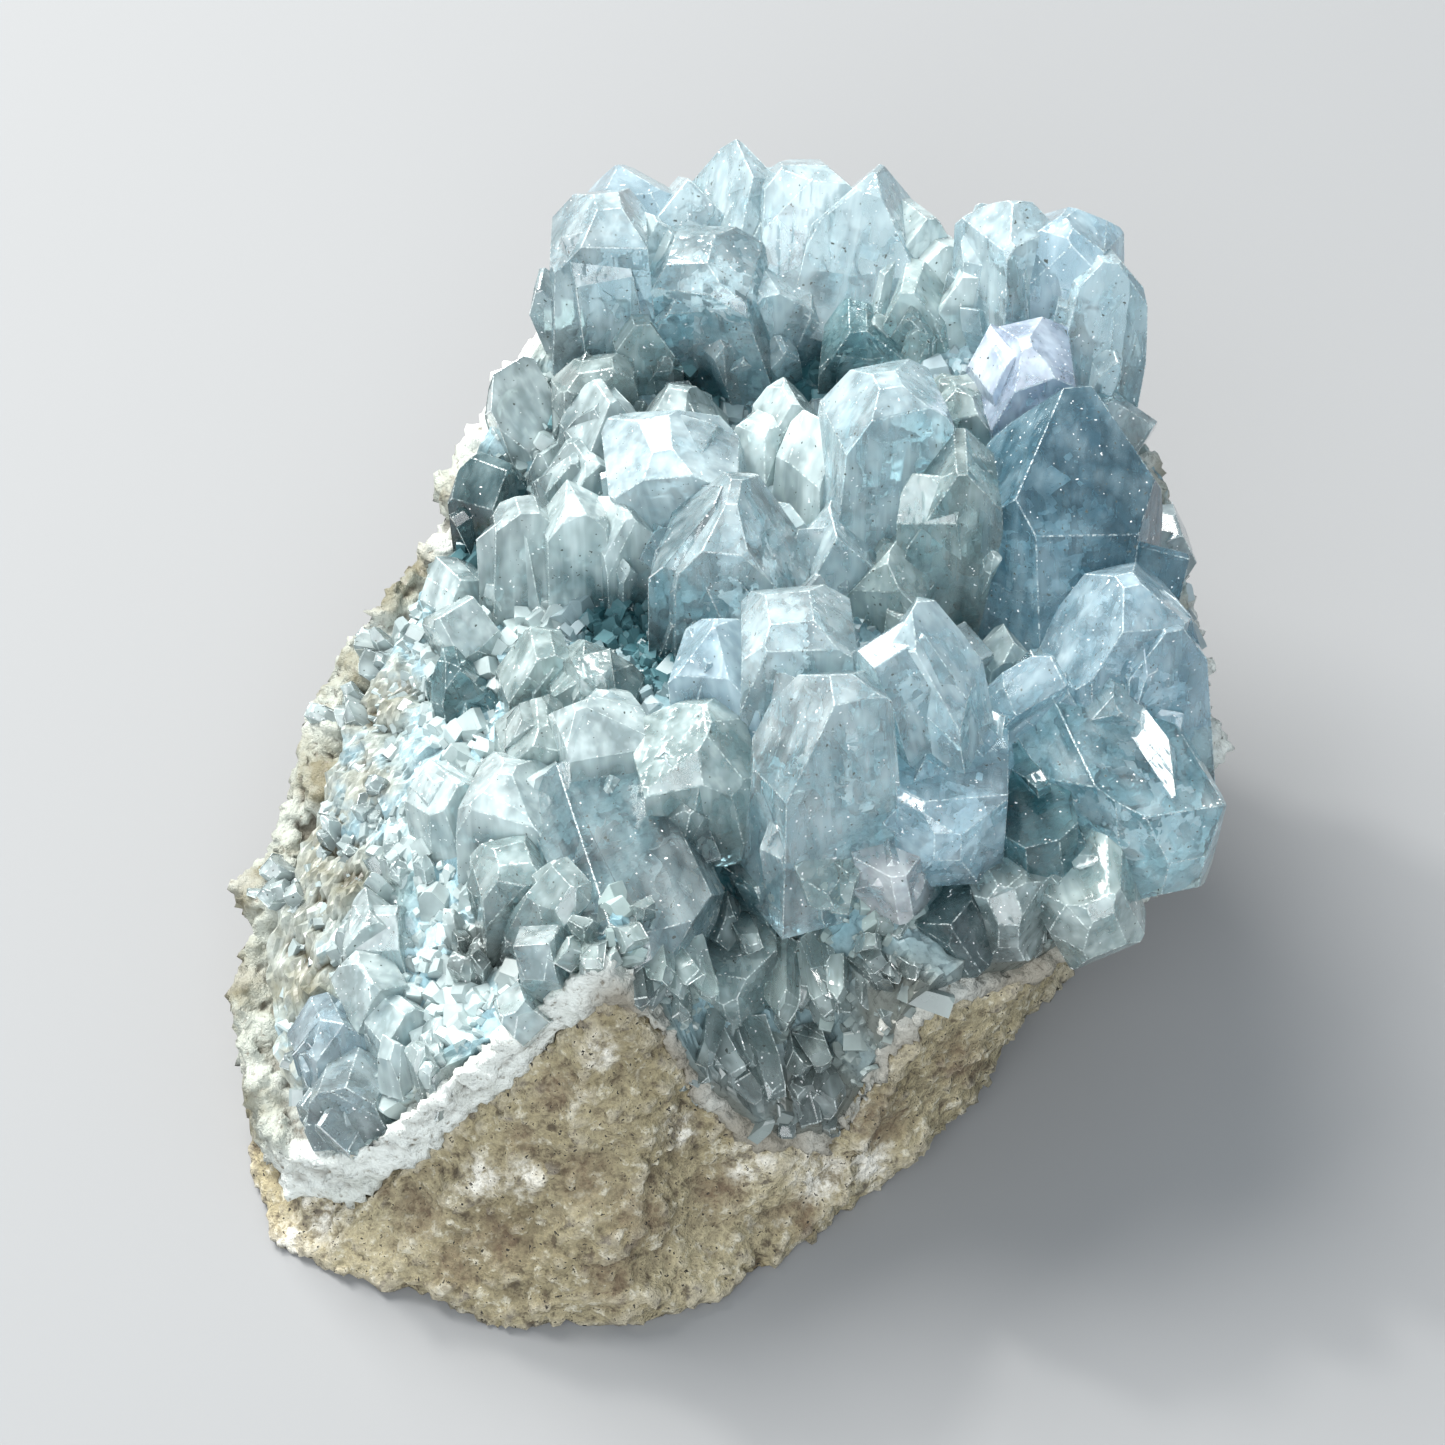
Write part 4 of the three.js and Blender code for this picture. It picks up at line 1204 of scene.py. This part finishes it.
def crust_bed():
    upper = bed_points(BED_RINGS)
    lower = bed_points(UNDERSIDE_RINGS) * BED_SHRINK - [0, 0, BED_THICKNESS]
    white = patches(upper, WHITE_GROUND)
    way = outward(upper[:, 0], upper[:, 1])
    facets = facet_offsets(upper[:, 0], upper[:, 1]) * way[:, 2] * (1 - FLATTER_ON_WHITE * white)
    upper += way * (facets + (SUGAR_HEIGHT * sugar(upper) + SUGAR_LIFT) * white)[:, None]
    middle = float(crust_height(0, 0))
    points = np.vstack([upper, lower, [[0, 0, middle], [0, 0, middle - BED_THICKNESS]]])
    under = len(upper)
    top, bottom = len(points) - 2, len(points) - 1
    rim, low_rim = under - BED_SECTORS, top - BED_SECTORS
    faces = ring_faces(BED_RINGS, 0) + [face[::-1] for face in ring_faces(UNDERSIDE_RINGS, under)]
    for i in range(BED_SECTORS):
        j = (i + 1) % BED_SECTORS
        faces.append((top, i, j))
        faces.append((bottom, under + j, under + i))
        faces.append((rim + i, low_rim + i, low_rim + j, rim + j))
    return make_object("crust_bed", points, faces)


bed = crust_bed()
print("bed faces:", len(bed.data.polygons))

# %% [markdown]
# ## The colour of the bed
#
# The bed takes its colour from the same patches as the crystals' feet: deep teal painted as shade,
# white, and earthy grey with painted shade. The pits are painted darker as shade, so each mesh also
# carries its relief: how far a point stands above or below the smoothed surface round it. Averaging
# every point with its neighbours a few times gives that.

# %% Bed colours
def level_above_neighbours(mesh, rounds):
    places = read(mesh.vertices, "co", width=3)
    one, other = read(mesh.edges, "vertices", int, 2).T
    count = len(places)
    shares = np.bincount(one, minlength=count) + np.bincount(other, minlength=count)
    smooth = places
    for _ in range(rounds):
        total = [
            np.bincount(one, smooth[other, k], count) + np.bincount(other, smooth[one, k], count)
            for k in range(3)
        ]
        smooth = np.column_stack(total) / np.maximum(shares, 1)[:, None]
    return ((places - smooth) * read(mesh.vertex_normals, "vector", width=3)).sum(axis=1) / MM


def write_ground(piece, kinds, rounds=0, full=1.0):
    mesh = piece.data
    points = points_of_corners(mesh)
    ground = [patches(points, spots) for spots in kinds]
    write_on_corners(mesh, "ground", "FLOAT_VECTOR", np.column_stack(ground))
    if rounds:
        height = np.clip(level_above_neighbours(mesh, rounds) / full, -1, 1)
        write_on_corners(mesh, "relief", "FLOAT", height[read(mesh.loops, "vertex_index", int)])


def ground_material():
    mix = Mix("sugary ground")
    dark, white, earth_and_shade = mix.parts(mix.written("ground"))
    broad = mix.noise(mix.where(), 180.0, 4.0)
    grain = mix.noise(mix.where(), 1500.0)
    # Painted shade: the pits are darkened by their relief.
    painted_pit_shade = mix.spread(mix.written("relief", "Fac"), -0.1, -0.9)
    blue = mix.blend(mix.spread(broad, 0.35, 0.65), (0.50, 0.64, 0.68), (0.70, 0.81, 0.84))
    sugary = mix.blend(mix.spread(broad, 0.36, 0.60), (0.48, 0.48, 0.42), (0.67, 0.70, 0.68))
    sugary = mix.coats(
        sugary, (mix.spread(broad, 0.52, 0.62), (0.50, 0.60, 0.63)), (painted_pit_shade, (0.30, 0.29, 0.23)),
    )
    # Painted shade: teal in the shaded hollows, and the earthy pocket darkened as shade on top of its
    # own grey.
    colour = mix.coats(
        blue, (dark, (0.18, 0.36, 0.39)), (white, sugary), (earth_and_shade, (0.40, 0.42, 0.40)),
    )
    speckle = mix.spread(grain, 0.30, 0.62, 0.75, 1.15)
    mix.set("Base Color", mix.blend(1.0, colour, speckle, "MULTIPLY"))
    mix.set("Roughness", mix.spread(grain, 0.3, 0.7, 0.2, 0.5))
    mix.set("Normal", mix.bump(grain, 0.0001, 0.6))
    return mix


CRUST_GROUND = (SHADED_HOLLOWS, WHITE_GROUND, EARTHY_SHADED_GROUND)
write_ground(bed, CRUST_GROUND, rounds=12, full=0.35)
ground_material().paint(bed)
print("bed painted over", len(SHADED_HOLLOWS), "hollows")

# %% [markdown]
# ## Druse
#
# Druse is the carpet of crystals too small to count. Sixteen tiny shapes are made once and copied
# by number work into one mesh, which stays a real mesh and renders faster than thousands of objects.

# %% Druse shapes
DRUSE_SHAPES = 16
DRUSE_WIDTH = 2.0


def druse_shapes():
    shapes = []
    for i in range(DRUSE_SHAPES):
        draw = chances(701 + i)
        form = ("wedge", "chisel", "point", "wedge")[i % 4]
        tall = 2.0 + 1.6 * next(draw)
        cuts = crystal_cuts(tall, DRUSE_WIDTH, 1.2 + 0.7 * next(draw), form, draw)
        bm = cut_block(cuts, DRUSE_WIDTH, chances(801 + i), DRUSE_CHIPS)
        bm.verts.index_update()
        corners = np.array([v.co for v in bm.verts]) / DRUSE_WIDTH
        shapes.append((corners, [[v.index for v in face.verts] for face in bm.faces]))
        bm.free()
    return shapes


tiny_shapes = druse_shapes()
print("druse shapes:", len(tiny_shapes))

# %% Druse places
DRUSE_SPACING = 0.66
DRUSE_BARE = 0.3
DRUSE_RIM = 0.2


def druse_places():
    draw = chances(43)
    places = []
    for x, y, across, along, luck in seed_points(DRUSE_SPACING, 97):
        angle = math.atan2(y, x)
        widest = rim_radius(angle) - bare_rim(math.degrees(angle) % 360) - DRUSE_RIM
        if luck < DRUSE_BARE or math.hypot(x, y) > widest:
            continue
        foot = np.array([x, y, float(crust_height(x, y))])
        dull = max(patches(foot[None], WHITE_GROUND)[0], patches(foot[None], EARTHY_SHADED_GROUND)[0])
        way = outward(x, y) + np.array([across - 0.5, along - 0.5, 0]) * 1.5
        way = way / np.linalg.norm(way)
        size = (0.45 + 1.6 * luck**5) * (1 - 0.25 * dull)
        tip = foot + way * size * (0.6 + 0.5 * next(draw)) * (1 - 0.65 * dull)
        places.append((foot, tip, way, size, 6 * across))
    tips = np.array([place[1] for place in places])
    hidden = np.zeros(len(places), bool)
    for crystal in crystals:
        hidden |= crystal.holds(tips, 0.1)
    return [place for place, inside in zip(places, hidden) if not inside]


tiny_places = druse_places()
print("druse crystals:", len(tiny_places))


# %% Druse mesh and material
def druse():
    draw = chances(47)
    points, faces, tints = [], [], []
    start = 0
    for foot, tip, way, size, turn in tiny_places:
        own, own_faces = tiny_shapes[int(next(draw) * len(tiny_shapes))]
        side = np.cross(way, [math.cos(turn), math.sin(turn), 0.2])
        side = side / np.linalg.norm(side)
        points.append((own * size) @ np.array([side, np.cross(way, side), way]) + tip)
        faces.extend([[start + i for i in face] for face in own_faces])
        sugary = patches(foot[None], WHITE_GROUND)[0]
        # A random tone, darkened on the white slope as painted shade, since that slope faces the key
        # lamp.
        shade = (0.78 + 0.32 * next(draw)) * (1 - 0.34 * sugary)
        tint = (*(v * shade for v in linear(*LOOKS[look_of_ground(foot)][0])), 1.0)
        tints.extend([tint] * sum(len(face) for face in own_faces))
        start += len(own)
    piece = make_object("druse", np.vstack(points), faces)
    write_on_corners(piece.data, "tint", "FLOAT_COLOR", tints)
    return piece


def druse_material():
    mix = Mix("druse")
    dark, _, earth_and_shade = mix.parts(mix.written("ground"))
    broad = mix.noise(mix.where(), 300.0, 4.0)
    tint = mix.written("tint", "Color")
    colour = mix.blend(1.0, tint, mix.spread(broad, 0.3, 0.7, 0.6, 1.0), "MULTIPLY")
    # Painted shade on the druse: teal in the shaded hollows, darker grey in the earthy pocket.
    mix.set("Base Color", mix.coats(
        colour, (mix.times(dark, 0.85), (0.25, 0.41, 0.44)), (mix.times(earth_and_shade, 0.8), (0.46, 0.49, 0.48)),
    ))
    mix.set("Roughness", mix.spread(broad, 0.3, 0.7, 0.1, 0.3))
    mix.set("IOR", CELESTITE_IOR)
    mix.set("Transmission Weight", 0.12)
    return mix


carpet = druse()
write_ground(carpet, CRUST_GROUND)
druse_material().paint(carpet)
print("druse faces:", len(carpet.data.polygons))

# %% [markdown]
# ## Host rock and white seam
#
# The CAD rock is a faceted block. A voxel remesh gives it an even skin of small faces, and displace
# modifiers push that skin in and out: large waves first, then lumps, then grains. Both are applied,
# so the roughness is real geometry. The seam gets the same treatment with finer, sugary grains.

# %% Rough stone from a CAD solid
ROCK_WAVES = [(10, 2.2, "SOFT"), (3.6, 1.4, "SOFT"), (1.6, 1.0, "HARD"), (0.8, 0.9, "SOFT")]
SEAM_WAVES = [(3.4, 1.6, "SOFT"), (1.4, 1.3, "HARD"), (0.7, 0.8, "SOFT")]


def clouds_texture(name, size, kind):
    texture = bpy.data.textures.new(name, "CLOUDS")
    texture.noise_scale = size * MM
    texture.noise_depth = 2
    texture.noise_type = f"{kind}_NOISE"
    return texture


def pushed(worker, name, height, mid_level):
    wave = worker.modifiers.new(name, "DISPLACE")
    wave.strength = height * MM
    wave.mid_level = mid_level
    return wave


def rough_copy(name, node, voxel, swell, waves):
    bm = bmesh.new()
    bm.from_mesh(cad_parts[node].data)
    bmesh.ops.remove_doubles(bm, verts=bm.verts, dist=1e-6)
    mesh = bpy.data.meshes.new(name)
    bm.to_mesh(mesh)
    bm.free()
    worker = bpy.data.objects.new(name, mesh)
    bpy.context.scene.collection.objects.link(worker)
    remesh = worker.modifiers.new("skin", "REMESH")
    remesh.mode = "VOXEL"
    remesh.voxel_size = voxel * MM
    pushed(worker, "swell", swell, 0)
    for size, height, kind in waves:
        pushed(worker, "wave", height, 0.5).texture = clouds_texture(f"{name} {size} mm", size, kind)
    graph = bpy.context.evaluated_depsgraph_get()
    done = bpy.data.meshes.new_from_object(worker.evaluated_get(graph))
    worker.modifiers.clear()
    worker.data = done
    bpy.data.meshes.remove(mesh)
    done.name = name
    places = read(done.vertices, "co", width=3)
    places[:, 2] = np.maximum(places[:, 2], 0)
    done.vertices.foreach_set("co", places.ravel())
    done.polygons.foreach_set("use_smooth", [True] * len(done.polygons))
    done.update()
    return worker


rock = rough_copy("rock", "host_rock", voxel=0.5, swell=0.1, waves=ROCK_WAVES)
seam = rough_copy("seam", "white_seam", voxel=0.42, swell=0.4, waves=SEAM_WAVES)
print("rock faces:", len(rock.data.polygons), "seam faces:", len(seam.data.polygons))

# %% [markdown]
# ## The colours of rock and seam
#
# The rock is a crumbly grey-tan stone: broad warm patches, pale and dark grains, stains, a few chalky
# spots and one black fleck. The seam is a white sugar that turns cream on the left rim and grey where
# it meets the pocket. The spots are circles in the view again. The pits are painted darker as shade,
# and on the rock the raised grains are painted lighter.

# %% Rock material
ROCK_STAINS = [
    (420, 1215, 22), (500, 1240, 26), (585, 1180, 24), (455, 1265, 20), (640, 1215, 28),
    (720, 1190, 24), (560, 1090, 22), (880, 1120, 26), (960, 1060, 22), (380, 1180, 16),
    (610, 1280, 24), (800, 1215, 22), (520, 1140, 14),
]
ROCK_CHALK = [
    (480, 1180, 18), (525, 1177, 16), (320, 1215, 24), (290, 1240, 20), (680, 1130, 16),
    (750, 1165, 20), (820, 1175, 26), (870, 1165, 20), (600, 1050, 16),
]
ROCK_BLACK = [(575, 1005, 8)]
RELIEF_ROUNDS = 14
RELIEF_FULL = 0.5


def rock_material():
    mix = Mix("host rock")
    where = mix.where()
    broad = mix.noise(where, 90.0, 4.0)
    grain = mix.noise(where, 700.0, 4.0, 0.68)
    fine = mix.noise(where, 2400.0)
    relief = mix.written("relief", "Fac")
    stains, chalk, black = mix.parts(mix.written("ground"))
    stains = mix.times(stains, mix.spread(grain, 0.40, 0.55, 0.7, 0.3))
    chalk = mix.times(chalk, mix.spread(grain, 0.44, 0.58, 0.1, 0.9))
    # The two relief coats are painted shade in the pits and painted light on the raised grains.
    colour = mix.coats(
        mix.blend(mix.spread(broad, 0.38, 0.62), (0.57, 0.53, 0.415), (0.69, 0.65, 0.53)),
        (mix.spread(grain, 0.56, 0.68), (0.83, 0.81, 0.73)),
        (mix.spread(grain, 0.46, 0.34), (0.38, 0.34, 0.27)),
        (mix.spread(relief, -0.1, -0.9, 0, 0.55), (0.38, 0.33, 0.26)),
        (mix.spread(relief, 0.2, 1.0, 0, 0.3), (0.82, 0.80, 0.75)),
        (stains, (0.46, 0.39, 0.31)),
        (chalk, (0.93, 0.92, 0.88)),
        (black, (0.05, 0.05, 0.06)),
    )
    colour = mix.blend(1.0, colour, mix.spread(fine, 0.34, 0.62, 0.74, 1.14), "MULTIPLY")
    mix.set("Base Color", mix.blend(mix.spread(fine, 0.63, 0.67), colour, (0.20, 0.19, 0.17)))
    mix.set("Roughness", 0.9)
    mix.set("Normal", mix.bump(fine, 0.0002, 0.6, mix.bump(grain, 0.0008, 0.9)))
    return mix


write_ground(rock, (ROCK_STAINS, ROCK_CHALK, ROCK_BLACK), RELIEF_ROUNDS, RELIEF_FULL)
rock_material().paint(rock)
print("rock with", len(ROCK_STAINS), "stains and", len(ROCK_CHALK), "chalky spots")

# %% Seam material
SEAM_TAN = [
    (420, 480, 50), (395, 580, 50), (345, 680, 60), (325, 770, 60), (285, 850, 62), (258, 930, 62),
    (250, 1020, 58), (250, 1110, 50), (1190, 480, 40),
]
SEAM_GREY = [
    (660, 1080, 60), (760, 1150, 70), (860, 1160, 60), (930, 1080, 70), (1040, 1000, 70),
    (620, 1010, 30),
]


def seam_material():
    mix = Mix("white seam")
    where = mix.where()
    broad = mix.noise(where, 140.0, 4.0)
    grain = mix.noise(where, 1300.0, 4.0, 0.65)
    spots = mix.parts(mix.written("ground"))
    tan = mix.plus(spots[0], mix.spread(broad, 0.54, 0.72, 0, 0.6), clamp=True)
    cream = mix.blend(mix.spread(broad, 0.40, 0.58), (0.47, 0.45, 0.36), (0.68, 0.70, 0.66))
    # Painted shade: the pits are darkened by their relief, olive on the cream rim.
    painted_pit_shade = mix.spread(mix.written("relief", "Fac"), -0.1, -0.8, 0, 0.85)
    mix.set("Base Color", mix.coats(
        mix.blend(tan, (0.86, 0.88, 0.86), cream),
        (spots[1], (0.60, 0.58, 0.53)),
        (painted_pit_shade, mix.blend(tan, (0.60, 0.60, 0.57), (0.27, 0.24, 0.17))),
        (mix.spread(grain, 0.42, 0.30), (0.52, 0.50, 0.45)),
    ))
    mix.set("Roughness", mix.spread(grain, 0.3, 0.7, 0.35, 0.75))
    mix.set("Normal", mix.bump(grain, 0.0005, 1.0))
    return mix


write_ground(seam, (SEAM_TAN, SEAM_GREY, []), RELIEF_ROUNDS, RELIEF_FULL)
seam_material().paint(seam)
print("seam with", len(SEAM_TAN), "cream and", len(SEAM_GREY), "grey spots")

# %% [markdown]
# ## Riding and replacing
#
# Each piece is tied to the one body of the packed model, and stands in for the CAD node it covers.
# The CAD solids stay behind the scenes for collision.

# %% Tie the pieces to the frame
RIDERS = (
    (cluster, "crystal_crust"), (fractures, "crystal_crust"), (bed, "crystal_crust"),
    (carpet, "crystal_crust"), (rock, "host_rock"), (seam, "white_seam"),
)
for piece, slot in RIDERS:
    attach(piece, "root")
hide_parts("crystal_crust")
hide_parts("host_rock")
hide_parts("white_seam")
print(len(RIDERS), "pieces ride on the root body")

# %% [markdown]
# ## Floor and light
#
# A pale floor, and one big soft lamp high at the upper left, a little behind the cluster. A small
# lamp beside it gives the sharp glints. A weaker fill from the front keeps the shadows readable.
# Large lamps matter with clear crystal, because the light has to find its way in and out again. Rays
# may bend seven times, enough to cross two crystals: more of them cost time and change little.

# %% Floor, lamps and sky
FLOOR_REACH = 900
LAMP_AIM = Vector((0, 0, 0.025))
LAMPS = {
    "key lamp": ((-0.34, 0.33, 0.62), 0.50, 10.8, (1.0, 0.98, 0.95)),
    "glint lamp": ((-0.38, 0.38, 0.60), 0.06, 2.4, (1.0, 0.98, 0.94)),
    "fill lamp": ((-0.10, -0.62, 0.52), 0.60, 4.8, (0.98, 0.99, 1.0)),
}
SKY_COLOUR = (0.73, 0.82, 0.90, 1)
SKY_STRENGTH = 0.64
BOUNCES = {"max": 7, "diffuse": 2, "glossy": 3, "transmission": 7, "volume": 0}


def pale_floor():
    corners = [(-1, -1, 0), (1, -1, 0), (1, 1, 0), (-1, 1, 0)]
    floor = make_object("floor", np.array(corners) * FLOOR_REACH, [(0, 1, 2, 3)])
    mix = Mix("pale floor")
    mix.set("Base Color", (*linear(0.56, 0.565, 0.57), 1.0))
    mix.set("Roughness", 0.8)
    mix.paint(floor)
    return floor


def soft_lamp(name, place, size, power, colour):
    light = bpy.data.lights.new(name, "AREA")
    light.size = size
    light.energy = power
    light.color = colour
    lamp = bpy.data.objects.new(name, light)
    bpy.context.scene.collection.objects.link(lamp)
    lamp.location = place
    lamp.rotation_mode = "QUATERNION"
    lamp.rotation_quaternion = (LAMP_AIM - Vector(place)).to_track_quat("-Z", "Y")


pale_floor()
for name, settings in LAMPS.items():
    soft_lamp(name, *settings)
scene = bpy.context.scene
scene.world = bpy.data.worlds.new("sky")
scene.world.use_nodes = True
sky = scene.world.node_tree.nodes["Background"].inputs
sky["Color"].default_value = SKY_COLOUR
sky["Strength"].default_value = SKY_STRENGTH
scene.view_settings.view_transform = "Standard"
scene.view_settings.look = "None"
for kind, most in BOUNCES.items():
    setattr(scene.cycles, f"{kind}_bounces", most)
print("lamps:", ", ".join(LAMPS))

# %% [markdown]
